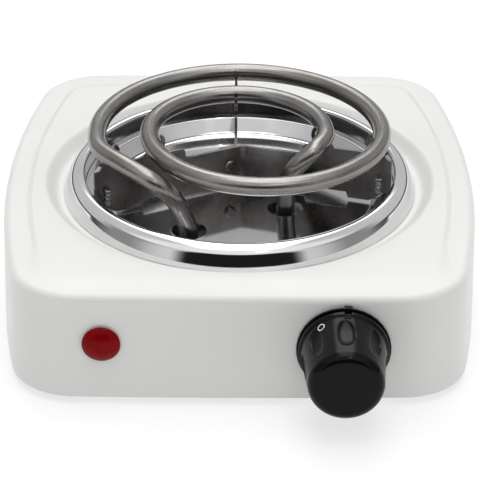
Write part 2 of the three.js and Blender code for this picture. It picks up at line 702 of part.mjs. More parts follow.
// Stands an arm's drawing up and turns it to its direction.
function stand({ shape, start, degrees }) {
  return geometryOf(shape).rotateX(Math.PI / 2).rotateZ(radians(degrees)).translate(start.x, start.y, 0);
}

const RIVET_DISTANCE = 6.5;
const RIVET_HEIGHT = 53.2;
const FLANGE_LENGTH = 11;

function rivetHole() {
  const bore = disc(RIVET_RADIUS + HOLE_CLEARANCE, -3 * SUPPORT_SHEET, 3 * SUPPORT_SHEET);
  return solid(bore.translate(RIVET_DISTANCE, RIVET_HEIGHT, 0));
}

function frontSupport() {
  const left = arm(APEX, LEFT_ARM_ANGLE, HUB_TOP_HEIGHT);
  const right = arm(APEX, RIGHT_ARM_ANGLE, HUB_TOP_HEIGHT);
  left.shape = left.shape.subtract(rivetHole());
  const bend = disc(SUPPORT_SHEET / 2, BOWL_FLOOR + ARM_FLOOR_GAP, HUB_TOP_HEIGHT);
  return solid(stand(left)).add(solid(stand(right))).add(solid(bend.translate(APEX.x, APEX.y, 0)));
}

// Drawn like an arm, against the left arm's back.
function rearFlange() {
  const step = SUPPORT_SHEET + GAP;
  const lower = BOWL_FLOOR + ARM_FLOOR_GAP;
  const plate = box(
    [0, lower, step - SUPPORT_SHEET / 2],
    [FLANGE_LENGTH, HUB_TOP_HEIGHT, step + SUPPORT_SHEET / 2],
  );
  return { shape: solid(plate).subtract(rivetHole()), start: APEX, degrees: LEFT_ARM_ANGLE };
}

function rearSupport() {
  const back = radians(LEFT_ARM_ANGLE) - Math.PI / 2;
  const step = SUPPORT_SHEET + GAP;
  const slope = Math.tan(radians(LEFT_ARM_ANGLE));
  const y = APEX.y + slope * (REAR_ARM_X - APEX.x) + step / Math.abs(Math.sin(back));
  const plate = arm({ x: REAR_ARM_X, y }, 90, HUB_TOP_HEIGHT);
  return solid(stand(plate)).add(solid(stand(rearFlange())));
}

function supportRivet() {
  const front = SUPPORT_SHEET / 2 + GAP;
  const back = front + SUPPORT_SHEET + GAP;
  const head = 2 * RIVET_RADIUS;
  const shape = turned([
    [0, -front - 1],
    [head - 0.6, -front - 1],
    [head, -front - 0.3],
    [head, -front],
    [RIVET_RADIUS, -front],
    [RIVET_RADIUS, back],
    [head, back],
    [head, back + 0.3],
    [head - 0.6, back + 1],
    [0, back + 1],
  ]);
  const drawn = solid(shape.translate(RIVET_DISTANCE, RIVET_HEIGHT, 0));
  return stand({ shape: drawn, start: APEX, degrees: LEFT_ARM_ANGLE });
}

// ---- Knob, dial and thermostat, drawn with +Z towards the user and +Y up ----

const BRACKET_SHEET = 1.2;
const STACK_HEAD = 0.5; // stack rivet's front head
const BRACKET_CLEARANCE = 2 * GAP + STACK_HEAD; // behind the wall, round that head
const BRACKET_FRONT = -SHEET - BRACKET_CLEARANCE;
const BRACKET_BACK = BRACKET_FRONT - BRACKET_SHEET;
const BUSH_FLANGE = 1.2;
const BUSH_FLANGE_RADIUS = 7.5;
const BUSH_BACK = BRACKET_BACK - GAP - BUSH_FLANGE;
const NUT_RADIUS = 8;
const NUT_HEIGHT = 2.2;
const BEZEL_FRONT = BEZEL_BACK + BEZEL_SHEET;
const NUT_FRONT = BEZEL_FRONT + GAP + NUT_HEIGHT;
const SOCKET_DEPTH = 3;
const PIN_BACKLASH = 0.4; // pin to the end of its socket
const PIN_TRAVEL = 0.7; // towards the contact blade, from the off setting
const SHOULDER_RADIUS = 4.2;
const BLADE = 0.5;
const CLIP_WIDTH = 3;

function knobBody() {
  const shoulderR = KNOB_NOSE_RADIUS - KNOB_SHOULDER;
  const shoulderZ = KNOB_REACH - KNOB_SHOULDER;
  const profile = [
    [0, KNOB_BACK],
    [SKIRT_RADIUS - 0.8, KNOB_BACK],
    [SKIRT_RADIUS, KNOB_BACK + 0.8],
    [SKIRT_RADIUS - 0.5, KNOB_BACK + 2.2],
    [KNOB_BASE_RADIUS, KNOB_BACK + 3],
    ...arc(shoulderR, shoulderZ, KNOB_SHOULDER, 0, Math.PI / 2, 5),
    [shoulderR, KNOB_REACH],
    [0, KNOB_REACH],
  ];
  return solid(turned(profile, KNOB_SEGMENTS));
}

// Shallow oval finger dimples round the knob's side.
function knobDimples() {
  const middle = (KNOB_BACK + KNOB_REACH) / 2 - 1.5;
  const cuts = Array.from({ length: DIMPLES }, (_, i) => {
    const oval = new THREE.SphereGeometry(1, 8, 6).scale(DIMPLE_WIDTH / 2, DIMPLE_DEPTH, DIMPLE_LENGTH / 2);
    return solid(oval.translate(0, KNOB_BASE_RADIUS, middle).rotateZ((2 * Math.PI * i) / DIMPLES));
  });
  return cuts.reduce((all, cut) => all.add(cut));
}

// Round with a flat on its upper side, for the shaft and the bore that fits it.
function flatted(radius, flat, bottom, top) {
  const cut = box([-2 * radius, flat, bottom - 1], [2 * radius, 2 * radius, top + 1]);
  return solid(disc(radius, bottom, top)).subtract(solid(cut));
}

function knob() {
  const bore = SHAFT_RADIUS + HOLE_CLEARANCE;
  const flat = SHAFT_FLAT + HOLE_CLEARANCE;
  const inside = KNOB_NOSE_RADIUS - DIMPLE_DEPTH - KNOB_WALL;
  const top = KNOB_REACH - KNOB_SHOULDER - KNOB_WALL;
  const cavity = solid(sleeve(inside, KNOB_HUB_RADIUS, KNOB_BACK - 1, top, MEDIUM_SEGMENTS));
  const mouth = solid(disc(inside, KNOB_BACK - 1, KNOB_HUB_START, MEDIUM_SEGMENTS));
  return knobBody()
    .subtract(knobDimples())
    .subtract(cavity)
    .subtract(mouth)
    .subtract(flatted(bore, flat, KNOB_BACK, SHAFT_END + GAP));
}

function knobClip() {
  const inner = KNOB_HUB_RADIUS + GAP;
  const from = KNOB_HUB_START + 2;
  const ring = solid(sleeve(inner + 0.8, inner, from, from + CLIP_WIDTH, MEDIUM_SEGMENTS));
  const split = box([-1.5, 0, from - 1], [1.5, inner + 3, from + CLIP_WIDTH + 1]);
  return ring.subtract(solid(split));
}

const NUB_WIDTH = 3.4;
const NUB_HEIGHT = 1.2; // beyond the bezel
const NUB_REACH = 1.6;
const NUB_ANGLE = -4; // degrees from the top, negative to the right

// Thin disc behind the knob, with the index nub that stands clear of the turning skirt.
function dialBezel() {
  const bore = BUSH_RADIUS + HOLE_CLEARANCE;
  const side = NUB_WIDTH / 2;
  const nubTop = BEZEL_RADIUS + NUB_HEIGHT;
  const plate = solid(disc(BEZEL_RADIUS, BEZEL_BACK, BEZEL_FRONT, KNOB_SEGMENTS));
  const hole = solid(disc(bore, BEZEL_BACK - 1, BEZEL_FRONT + 1));
  const stem = solid(box([-side, BEZEL_RADIUS - 2, BEZEL_BACK], [side, nubTop, BEZEL_FRONT]));
  const nubFront = BEZEL_FRONT + NUB_REACH;
  const nub = solid(box([-side, SKIRT_RADIUS + GAP, BEZEL_BACK], [side, nubTop, nubFront]));
  return geometryOf(plate.subtract(hole).add(stem).add(nub)).rotateZ(radians(NUB_ANGLE));
}

const SHAFT_BACK = BUSH_BACK - GAP - 1;

function controlShaft() {
  const shoulder = disc(SHOULDER_RADIUS, SHAFT_BACK, SHAFT_BACK + 1);
  const plain = disc(SHAFT_RADIUS, SHAFT_BACK, KNOB_HUB_START);
  const nose = flatted(SHAFT_RADIUS, SHAFT_FLAT, KNOB_HUB_START - 1, SHAFT_END);
  const socket = disc(PIN_RADIUS + HOLE_CLEARANCE, SHAFT_BACK - 1, SHAFT_BACK + SOCKET_DEPTH);
  return solid(shoulder).add(solid(plain)).add(nose).subtract(solid(socket));
}

function thermostatBush() {
  const bore = SHAFT_RADIUS + HOLE_CLEARANCE;
  const flange = BUSH_BACK + BUSH_FLANGE;
  return hollow([
    [bore, BUSH_BACK],
    [BUSH_FLANGE_RADIUS, BUSH_BACK],
    [BUSH_FLANGE_RADIUS, flange],
    [BUSH_RADIUS, flange],
    [BUSH_RADIUS, NUT_FRONT],
    [bore, NUT_FRONT],
  ]);
}

function bushNut() {
  const back = NUT_FRONT - NUT_HEIGHT;
  const bore = disc(BUSH_RADIUS + HOLE_CLEARANCE, back - 1, NUT_FRONT + 1);
  return solid(disc(NUT_RADIUS, back, NUT_FRONT, 6)).subtract(solid(bore));
}

// The thermostat's stack lies below the shaft: insulators and blades on one rivet, from the
// bracket back to the fixed contact.
const BIMETAL_Z = -9.5;
const MOVING_BLADE_Z = -15.6;
const FIXED_BLADE_Z = -19.2;
const STACK_LOW = -14;
const STACK_HIGH = -8.4;
const STACK_RIVET_RADIUS = 1.3;
const STACK_MIDDLE = (STACK_LOW + STACK_HIGH) / 2;
const BLADE_TAIL = STACK_LOW - 2;
const BLADE_TOP = 4;

function stackBore(geometry) {
  const bore = disc(STACK_RIVET_RADIUS + HOLE_CLEARANCE, FIXED_BLADE_Z - 3, 0);
  return solid(geometry).subtract(solid(bore.translate(0, STACK_MIDDLE, 0)));
}

function insulator(back, front) {
  const half = THERMOSTAT_WIDTH / 2;
  return stackBore(box([-half, STACK_LOW, back + GAP], [half, STACK_HIGH, front - GAP]));
}

function blade(z, halfWidth) {
  return stackBore(box([-halfWidth, BLADE_TAIL, z], [halfWidth, BLADE_TOP, z + BLADE]));
}

function thermostatBracket() {
  const half = THERMOSTAT_WIDTH / 2 + 3;
  const plate = box([-half, STACK_LOW - 1, BRACKET_BACK], [half, half + 3, BRACKET_FRONT]);
  const hole = disc(BUSH_RADIUS + HOLE_CLEARANCE, BRACKET_BACK - 1, BRACKET_FRONT + 1);
  return stackBore(plate).subtract(solid(hole));
}

function bimetal() {
  const hole = disc(PIN_RADIUS + 2 * HOLE_CLEARANCE, BIMETAL_Z - 1, BIMETAL_Z + 2);
  return blade(BIMETAL_Z, 3.5).subtract(solid(hole));
}

function stackRivet() {
  const back = FIXED_BLADE_Z - GAP;
  const front = BRACKET_FRONT + GAP;
  const head = 2 * STACK_RIVET_RADIUS;
  const shape = turned([
    [0, back - 0.8],
    [head, back - 0.8],
    [head, back],
    [STACK_RIVET_RADIUS, back],
    [STACK_RIVET_RADIUS, front],
    [head, front],
    [head, front + STACK_HEAD],
    [0, front + STACK_HEAD],
  ]);
  return shape.translate(0, STACK_MIDDLE, 0);
}

// Pushed by the shaft's thread towards the moving contact blade.
function adjustingPin() {
  const back = MOVING_BLADE_Z + BLADE + GAP + PIN_TRAVEL;
  return disc(PIN_RADIUS, back, SHAFT_BACK + SOCKET_DEPTH - PIN_BACKLASH);
}

function placeControl(parent) {
  place(parent, "knob", knob(), blackPlastic);
  place(parent, "knob_clip", knobClip(), zincSteel);
  place(parent, "control_shaft", controlShaft(), zincSteel);
  place(parent, "dial_bezel", dialBezel(), blackPlastic);
  place(parent, "bush_nut", bushNut(), brass);
  place(parent, "thermostat_bush", thermostatBush(), brass);
  place(parent, "thermostat_bracket", thermostatBracket(), zincSteel);
  place(parent, "insulator_front", insulator(BIMETAL_Z + BLADE, BRACKET_BACK), ceramic);
  place(parent, "bimetal", bimetal(), brass);
  place(parent, "insulator_middle", insulator(MOVING_BLADE_Z + BLADE, BIMETAL_Z), ceramic);
  place(parent, "contact_blade_moving", blade(MOVING_BLADE_Z, 2.5), brass);
  place(parent, "insulator_rear", insulator(FIXED_BLADE_Z + BLADE, MOVING_BLADE_Z), ceramic);
  place(parent, "contact_blade_fixed", blade(FIXED_BLADE_Z, 2.5), brass);
  place(parent, "stack_rivet", stackRivet(), zincSteel);
  place(parent, "adjusting_pin", adjustingPin(), ceramic);
}

// ---- Indicator lamp, drawn like the knob ----

function placeLamp(parent) {
  const crown = arcRadius(LENS_RADIUS, LENS_REACH - 1.4);
  const crownZ = LENS_REACH - crown;
  const edge = Math.acos(LENS_RADIUS / crown);
  const lens = turned([
    [0, 0.5],
    [LENS_RADIUS, 0.5],
    ...arc(0, crownZ, crown, edge, Math.PI / 2, 5),
    [0, LENS_REACH],
  ], MEDIUM_SEGMENTS);
  const clipBack = -2 * SHEET - 0.9;
  const clip = sleeve(LENS_RADIUS, LAMP_BODY_RADIUS + GAP, clipBack, clipBack + 1.2);
  place(parent, "indicator_lens", lens, redLens);
  place(parent, "lamp_body", disc(LAMP_BODY_RADIUS, -LAMP_BODY_LENGTH, 0.5 - GAP), whitePlastic);
  place(parent, "lamp_clip", clip, zincSteel);
}

// ---- Mains inlet, terminal block and internal leads ----

const BLOCK_SCREW_RADIUS = 1.6;
const EARTH_X = 10;
const EARTH_Y = 84;
const WIRE_HEIGHT = 6; // wire bores above the block's foot

function blockScrewPlace() {
  return [GLAND_X + POLE_SPACING / 2, BLOCK_Y];
}

// Bush in the back wall, grooved round the sheet's edge.
function cordGland() {
  const throat = GLAND_BORE + 2 * SHEET;
  const wall = SHEET + 2 * GAP;
  return hollow([
    [GLAND_BORE, -7],
    [GLAND_RADIUS - 1, -7],
    [GLAND_RADIUS, -wall],
    [throat, -wall],
    [throat, 0.6],
    [GLAND_RADIUS, 0.6],
    [GLAND_RADIUS - 1, GLAND_REACH],
    [GLAND_BORE, GLAND_REACH],
  ], MEDIUM_SEGMENTS);
}

function terminalBlock() {
  const foot = BASE_TOP + GAP;
  const halfLength = BLOCK_LENGTH / 2;
  const halfDepth = BLOCK_DEPTH / 2;
  const low = [GLAND_X - halfLength, BLOCK_Y - halfDepth, foot];
  const high = [GLAND_X + halfLength, BLOCK_Y + halfDepth, foot + BLOCK_HEIGHT];
  let block = solid(box(low, high));
  for (const x of polePlaces()) {
    const y0 = BLOCK_Y - halfDepth - 1;
    block = block.subtract(solid(crossBore(LEAD_BORE, x, foot + WIRE_HEIGHT, y0, y0 + BLOCK_DEPTH + 2)));
    const hole = disc(BLOCK_SCREW_RADIUS + HOLE_CLEARANCE, foot + WIRE_HEIGHT, foot + BLOCK_HEIGHT + 1);
    block = block.subtract(solid(hole.translate(x, BLOCK_Y, 0)));
  }
  const [x, y] = blockScrewPlace();
  const through = disc(BLOCK_SCREW_RADIUS + HOLE_CLEARANCE, foot - 1, foot + BLOCK_HEIGHT + 1);
  return block.subtract(solid(through.translate(x, y, 0)));
}

function polePlaces() {
  return [-1, 0, 1].map((i) => GLAND_X + i * POLE_SPACING);
}

// Screw with its tip down, under a head whose lower face is at seat.
function screwDown(seat, tip) {
  return screw(BLOCK_SCREW_RADIUS, 2 * BLOCK_SCREW_RADIUS - 0.4, 1.6, -seat, -tip).rotateX(Math.PI);
}

function placeTerminals(parent) {
  const foot = BASE_TOP + GAP;
  const seat = foot + BLOCK_HEIGHT + GAP;
  const [x, y] = blockScrewPlace();
  place(parent, "terminal_block", terminalBlock(), ceramic);
  polePlaces().forEach((poleX, i) => {
    const bolt = screwDown(seat, foot + WIRE_HEIGHT + LEAD_BORE + 0.2).translate(poleX, BLOCK_Y, 0);
    place(parent, `terminal_screw_${i + 1}`, bolt, brass);
  });
  place(parent, "block_screw", screwDown(seat, BASE_HEIGHT - 1).translate(x, y, 0), zincSteel);
  const earthScrew = screwDown(BASE_TOP + GAP, BASE_HEIGHT - 1.2).translate(EARTH_X, EARTH_Y, 0);
  place(parent, "earth_screw", earthScrew, brass);
}

function lead(points) {
  const curve = new THREE.CatmullRomCurve3(points.map(([x, y, z]) => new THREE.Vector3(x, y, z)));
  return tube(curve, LEAD_RADIUS, 4 * points.length, LEAD_SIDES);
}

function placeLeads(parent) {
  const wireZ = BASE_TOP + GAP + WIRE_HEIGHT;
  const [liveX, neutralX, earthX] = polePlaces();
  const blockFront = BLOCK_Y - BLOCK_DEPTH / 2;
  const inBlock = blockFront + 3;
  const knobWall = -wallFace(KNOB_X, KNOB_Z);
  const tailZ = KNOB_Z + BLADE_TAIL - GAP;
  const fixedY = knobWall - FIXED_BLADE_Z - BLADE / 2;
  const movingY = knobWall - MOVING_BLADE_Z - BLADE / 2;
  const legA = [LEG_A.x, LEG_A.y + BURNER_Y];
  const legB = [LEG_B.x, LEG_B.y + BURNER_Y];
  const pinSide = TERMINAL_RADIUS + GAP;
  const lampBack = LAMP_BODY_LENGTH - wallFace(LAMP_X, LAMP_Z) + GAP;
  place(parent, "lead_live", lead([
    [liveX, inBlock, wireZ], [liveX, blockFront - 8, wireZ], [-66, 30, 8], [-62, -40, 7],
    [-20, -78, 6], [30, -84, 5], [KNOB_X, fixedY + 3, 5.4], [KNOB_X, fixedY, tailZ],
  ]), leadInsulation);
  place(parent, "lead_neutral", lead([
    [neutralX, inBlock, wireZ], [neutralX, blockFront - 8, wireZ], [-44, 20, 9],
    [-34, -28, 7], [legA[0], legA[1] + 1, 7.4], [legA[0], legA[1], TERMINAL_END - GAP],
  ]), leadInsulation);
  place(parent, "lead_earth", lead([
    [earthX, inBlock, wireZ], [earthX, blockFront - 7, wireZ], [-22, 66, 9],
    [EARTH_X - 10, 76, 9], [EARTH_X, EARTH_Y - 1, 9], [EARTH_X, EARTH_Y, BASE_TOP + 1.6 + 2 * GAP],
  ]), earthInsulation);
  place(parent, "lead_switched", lead([
    [KNOB_X + 1, movingY, tailZ], [KNOB_X + 1, movingY, tailZ - 3], [56, -80, 5.4], [46, -48, 7],
    [legB[0] + 6, legB[1] - 8, 7], [legB[0], legB[1] - 1, 7.4], [legB[0], legB[1], TERMINAL_END - GAP],
  ]), leadInsulation);
  place(parent, "lamp_lead_neutral", lead([
    [LAMP_X - 2.5, lampBack, LAMP_Z], [LAMP_X - 2.5, lampBack + 8, LAMP_Z], [-52, -62, 20],
    [-34, -48, 16], [legA[0] - pinSide - 3, legA[1] - 1, 16], [legA[0] - pinSide, legA[1], 16],
  ]), leadInsulation);
  place(parent, "lamp_lead_switched", lead([
    [LAMP_X + 2.5, lampBack, LAMP_Z], [LAMP_X + 3, lampBack + 8, LAMP_Z], [-34, -70, 19],
    [-2, -52, 16], [legB[0] - pinSide - 4, legB[1] - 2, 16], [legB[0] - pinSide, legB[1], 16],
  ]), leadInsulation);
}

// ---- Assembly ----

function facingFront(x, z) {
  const group = new THREE.Group();
  group.position.set(x, -wallFace(x, z), z);
  group.rotation.x = Math.PI / 2;
  return group;
}

function facingBack(x, z) {
  const group = new THREE.Group();
  group.position.set(x, wallFace(x, z), z);
  group.rotation.x = -Math.PI / 2;
  return group;
}

const assembly = new THREE.Group();
place(assembly, "housing", housing(), whitePaint);
place(assembly, "base_plate", basePlate(), zincSteel);
placeFeet(assembly);

const burner = new THREE.Group();
burner.position.y = BURNER_Y;
place(burner, "trim_ring", trimRing(), chrome);
place(burner, "drip_bowl", dripBowl(), chrome);
place(burner, "heating_element", tube(sheathCurve(), SHEATH_RADIUS, SHEATH_STEPS, SHEATH_SIDES), sheathSteel);
place(burner, "support_front", frontSupport(), supportSteel);
place(burner, "support_rear", rearSupport(), supportSteel);
place(burner, "support_rivet", supportRivet(), supportSteel);
place(burner, "element_bridge", elementBridge(), zincSteel);
placeLegEnd(burner, "front", LEG_A);
placeLegEnd(burner, "rear", LEG_B);

const control = facingFront(KNOB_X, KNOB_Z);
placeControl(control);
const lamp = facingFront(LAMP_X, LAMP_Z);
placeLamp(lamp);
const inlet = facingBack(GLAND_X, GLAND_Z);
place(inlet, "cord_gland", cordGland(), blackRubber);
placeTerminals(assembly);
placeLeads(assembly);
assembly.add(burner, control, lamp, inlet);

// The origin lies on the table, under the middle of the whole object's length.
const frontReach = wallFace(KNOB_X, KNOB_Z) + KNOB_REACH;
const backReach = wallFace(GLAND_X, GLAND_Z) + GLAND_REACH;
assembly.position.set(0, (frontReach - backReach) / 2, FOOT_STANDOFF);

const hotPlate = new THREE.Group();
hotPlate.add(assembly);

export default hotPlate;
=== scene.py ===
"""Looks of a single-burner hot plate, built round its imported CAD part. Millimetres in the shape code."""

import json  # noqa: E402
import math  # noqa: E402

import bmesh  # noqa: E402
import bpy  # noqa: E402
import numpy as np  # noqa: E402
from mathutils import Matrix, Vector  # noqa: E402


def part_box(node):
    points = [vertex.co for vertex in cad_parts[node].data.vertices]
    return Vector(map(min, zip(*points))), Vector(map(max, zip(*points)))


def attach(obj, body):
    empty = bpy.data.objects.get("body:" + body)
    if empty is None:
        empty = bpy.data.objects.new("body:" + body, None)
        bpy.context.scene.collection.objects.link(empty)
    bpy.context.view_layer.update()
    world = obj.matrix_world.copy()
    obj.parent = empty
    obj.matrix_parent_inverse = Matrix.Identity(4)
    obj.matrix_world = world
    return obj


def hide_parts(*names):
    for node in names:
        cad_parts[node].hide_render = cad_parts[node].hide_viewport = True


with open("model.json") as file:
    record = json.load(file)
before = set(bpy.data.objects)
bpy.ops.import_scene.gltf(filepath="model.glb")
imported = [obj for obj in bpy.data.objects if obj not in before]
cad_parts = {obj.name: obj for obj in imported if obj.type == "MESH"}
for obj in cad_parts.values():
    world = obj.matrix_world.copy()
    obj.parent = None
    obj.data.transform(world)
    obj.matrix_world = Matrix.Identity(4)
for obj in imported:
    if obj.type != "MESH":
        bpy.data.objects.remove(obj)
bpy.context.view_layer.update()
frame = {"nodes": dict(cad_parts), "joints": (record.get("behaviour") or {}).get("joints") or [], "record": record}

MM = 0.001

# ---- Sizes shared with the CAD part, in mm ----

HOUSING_WIDTH = 215
HOUSING_DEPTH = 223.7
HOUSING_HEIGHT = 49.1
SIDE_BOW = 14.8
END_BOW = 1.84
CORNER_RADIUS = 29.5
WALL_DRAFT = 1.26
RIM_FILLET = 3.5
SHEET = 1
PLATEAU_RISE = 1
PLATEAU_SLOPE = 3
PLATEAU_SIDE_INSET = 10
PLATEAU_END_INSET = 13
PLATEAU_CORNER_RADIUS = 14
RIM_MARGIN = 1.5  # between the rim's fillet and where the step starts in front
FADE_OUT = PLATEAU_END_INSET - RIM_FILLET - RIM_MARGIN
FADE_START = 62  # from the housing's middle towards the front
FADE_END = 98
PANEL_TOP = HOUSING_HEIGHT + PLATEAU_RISE
WELL_RIM_RADIUS = 88.5
WELL_FOOT_RADIUS = 83
WELL_OPENING_RADIUS = 75
WELL_LEDGE = 45
WELL_BROW = 1.6  # soft edge round the well's rim
BUSH_BORE = 5.2
LAMP_BORE = 5.8
GLAND_BORE = 5.9
WALL_CUT = 14  # half a cutter's length
BOWL_CUT = 4

RING_RADIUS = 81.2
RING_FOOT = 45.3
RING_SHEET = 0.8
CREST_RADIUS = 73
CREST_TOP = 55.1
CREST_OUTER_ROUND = 6
CREST_INNER_ROUND = 1.8
RING_BORE = 71.2
RING_FLANGE_RADIUS = 67.7
BOWL_SHEET = 0.8
BOWL_RIM_RADIUS = 70.9
BOWL_LEDGE_RADIUS = 67
BOWL_LEDGE = 47.2
BOWL_FLOOR_RADIUS = 61
BOWL_FLOOR = 41.2
LEG_HOLE_RADIUS = 8.2

SHEATH_RADIUS = 4.19
COIL_HEIGHT = 72.46  # keeps the smooth tube inside the CAD's facets
OUTER_TURN_RADIUS = 65.1
INNER_TURN_RADIUS = 41.4
INNER_TURN_END_RADIUS = 39
OUTER_TURN_START = 196
OUTER_TURN_END = 5
INNER_TURN_START = -175
INNER_TURN_END = -368
LEG_A = (-22.8, -37)
LEG_B = (21, -15)
LEG_END_HEIGHT = 30

SUPPORT_SHEET = 1.2
APEX = (1, 7.5)
LEFT_ARM_ANGLE = 206.3
RIGHT_ARM_ANGLE = -15.8
REAR_ARM_X = -1.8
ARM_TIP_RADIUS = 70.2
ARM_LOWER = 42.5
ARM_STEP = 45.4  # lower edge where it steps up between hub and foot
ARM_STEP_START = 30
ARM_STEP_END = 51
ARM_FOOT = 47.5
FOOT_LENGTH = 3.2
ARM_TIP_HEIGHT = 64
ARM_TOP_HEIGHT = 66.9
HUB_TOP_HEIGHT = 62
HUB_LENGTH = 27
HOOK_INNER = 4.79
HOOK_OUTER = 6.49
HOOK_TIP_ANGLE = 150
FRONT_BEND = 5
REAR_BEND = 2.6
FLANGE_LENGTH = 11
SHEET_STEP = 1.5  # rear flange behind the front plate
SHEARED_EDGE = 0.16
BEND_CUTS = 11
FOLD_SHARP = 28  # degrees
SHOULDER_ROUND = 2.2
HUB_ROUND = 2
HOOK_FOOT_ANGLE = 308  # where a hook's inner side ends
LAST_HOOK_END = 288

KNOB_REACH = 32.5
KNOB_BACK = 2.3
SKIRT_RADIUS = 19.6
KNOB_BASE_RADIUS = 18.4
KNOB_NOSE_RADIUS = 16.2
KNOB_SHOULDER = 4.5
KNOB_SIDE_RADIUS = KNOB_BASE_RADIUS - 0.2  # where the plain side starts
KNOB_SIDE_START = KNOB_BACK + 5
KNOB_SIDE_END = KNOB_REACH - KNOB_SHOULDER
KNOB_HOLLOW_RADIUS = 11.8
KNOB_HOLLOW_END = 25.8
KNOB_HUB_RADIUS = 6
KNOB_HUB_START = 5
KNOB_BORE_RADIUS = 3.3
KNOB_BORE_END = 20.3
DIMPLES = 8
DIMPLE_WIDTH = 7.6
DIMPLE_LENGTH = 17
DIMPLE_DEPTH = 1.5
DIMPLE_STATION = 15.9

LENS_RADIUS = 8.2
LENS_REACH = 4.6
LENS_FLANGE = 1.4

# ---- Places in the part's frame, from the CAD part ----

def middle_of(node):
    low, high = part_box(node)
    return Vector(((low.x + high.x) / 2, (low.y + high.y) / 2, (low.z + high.z) / 2))


LOW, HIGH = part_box("housing")
RING_MIDDLE = middle_of("trim_ring")
LENS_MIDDLE = middle_of("indicator_lens")
KNOB_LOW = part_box("knob")[0]
LENS_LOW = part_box("indicator_lens")[0]
HOUSING_ORIGIN = Vector(((LOW.x + HIGH.x) / 2, (LOW.y + HIGH.y) / 2, LOW.z))
BURNER_ORIGIN = Vector((RING_MIDDLE.x, RING_MIDDLE.y, LOW.z))
KNOB_HINGE = next(j for j in frame["joints"] if j["name"] == "knob_turn")["pos_m"]
WALL_Y = KNOB_LOW.y + KNOB_REACH * MM
KNOB_ORIGIN = Vector((KNOB_HINGE[0], WALL_Y, KNOB_HINGE[2]))
LENS_ORIGIN = Vector((LENS_MIDDLE.x, LENS_LOW.y + LENS_REACH * MM, LENS_MIDDLE.z))


# ---- Mesh helpers ----

def standing(origin):
    """Places (x, y, z) in mm from a point, with z up."""
    return lambda p: (origin.x + p[0] * MM, origin.y + p[1] * MM, origin.z + p[2] * MM)


def facing(origin):
    """Places a drawing whose z points at the user and whose y points up."""
    return lambda p: (origin.x + p[0] * MM, origin.y - p[2] * MM, origin.z + p[1] * MM)


def piece(name, points, faces, place, sharp=35):
    """A smooth-shaded mesh object from points in mm, with edges above the sharp angle kept crisp."""
    mesh = bpy.data.meshes.new(name)
    mesh.from_pydata([place(p) for p in points], [], faces)
    model = bmesh.new()
    model.from_mesh(mesh)
    bmesh.ops.recalc_face_normals(model, faces=model.faces)
    return finished(name, mesh, model, sharp)


def finished(name, mesh, model, sharp):
    """Writes the edited model to the mesh and makes its object."""
    model.to_mesh(mesh)
    model.free()
    made = linked(name, mesh)
    smooth(made, sharp)
    return made


def linked(name, data):
    made = bpy.data.objects.new(name, data)
    bpy.context.scene.collection.objects.link(made)
    return made


def smooth(made, sharp=35):
    made.data.shade_smooth()
    made.data.set_sharp_from_angle(angle=math.radians(sharp))


def dress(made, material, body="base", replaces=()):
    made.data.materials.clear()
    made.data.materials.append(material)
    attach(made, body)
    if replaces:
        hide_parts(*replaces)
    return made


def apply_modifiers(made):
    """Bakes a piece's modifiers into its mesh."""
    evaluated = made.evaluated_get(bpy.context.evaluated_depsgraph_get())
    baked = bpy.data.meshes.new_from_object(evaluated)
    made.modifiers.clear()
    made.data = baked


def cut(made, cutters):
    """Takes the cutters out of a piece and removes them."""
    for tool in cutters:
        boolean = made.modifiers.new("cut", "BOOLEAN")
        boolean.operation = "DIFFERENCE"
        boolean.solver = "EXACT"
        boolean.object = tool
    bpy.context.view_layer.update()
    apply_modifiers(made)
    for tool in cutters:
        bpy.data.objects.remove(tool)


def loft(rings, closed=False):
    """Points and quads through rings that all have the same count of points."""
    count = len(rings[0])
    points = [p for ring in rings for p in ring]
    faces = []
    for i in range(len(rings) if closed else len(rings) - 1):
        a, b = i * count, ((i + 1) % len(rings)) * count
        for k in range(count):
            j = (k + 1) % count
            faces.append((a + k, a + j, b + j, b + k))
    return points, faces


def end_caps(points, sides):
    """The two faces that close a lofted tube."""
    return [list(range(sides)), list(range(len(points) - sides, len(points)))]


def arc(x, y, radius, start, end, steps):
    """Points on an arc, both ends included; angles in degrees."""
    angles = np.radians(np.linspace(start, end, steps + 1))
    return [(x + radius * math.cos(t), y + radius * math.sin(t)) for t in angles]


def rounded(corners, steps=6):
    """A profile with its corners rounded: each corner is (x, y) or (x, y, radius)."""
    out = []
    for i, corner in enumerate(corners):
        here = np.array(corner[:2], float)
        radius = corner[2] if len(corner) > 2 else 0
        if not radius or i in (0, len(corners) - 1):
            out.append(tuple(here))
            continue
        before = np.array(corners[i - 1][:2], float) - here
        after = np.array(corners[i + 1][:2], float) - here
        before /= np.linalg.norm(before)
        after /= np.linalg.norm(after)
        half = math.acos(max(-1, min(1, before @ after))) / 2
        reach = radius / math.tan(half)
        start, end = here + before * reach, here + after * reach
        for t in np.linspace(0, 1, steps + 1):
            out.append(tuple((1 - t) ** 2 * start + 2 * t * (1 - t) * here + t**2 * end))
    return out


def lathe(profile, segments, closed=False):
    """Turns (radius, height) points round the axis. Ends on the axis become one point each."""
    rings, points, faces = [], [], []
    for radius, height in profile:
        if radius < 1e-6:
            rings.append([len(points)] * segments)
            points.append((0, 0, height))
            continue
        rings.append(list(range(len(points), len(points) + segments)))
        for k in range(segments):
            t = 2 * math.pi * k / segments
            points.append((radius * math.cos(t), radius * math.sin(t), height))
    for i in range(len(rings) if closed else len(rings) - 1):
        a, b = rings[i], rings[(i + 1) % len(rings)]
        for k in range(segments):
            j = (k + 1) % segments
            face = list(dict.fromkeys((a[k], a[j], b[j], b[k])))
            if len(face) > 2:
                faces.append(face)
    return points, faces


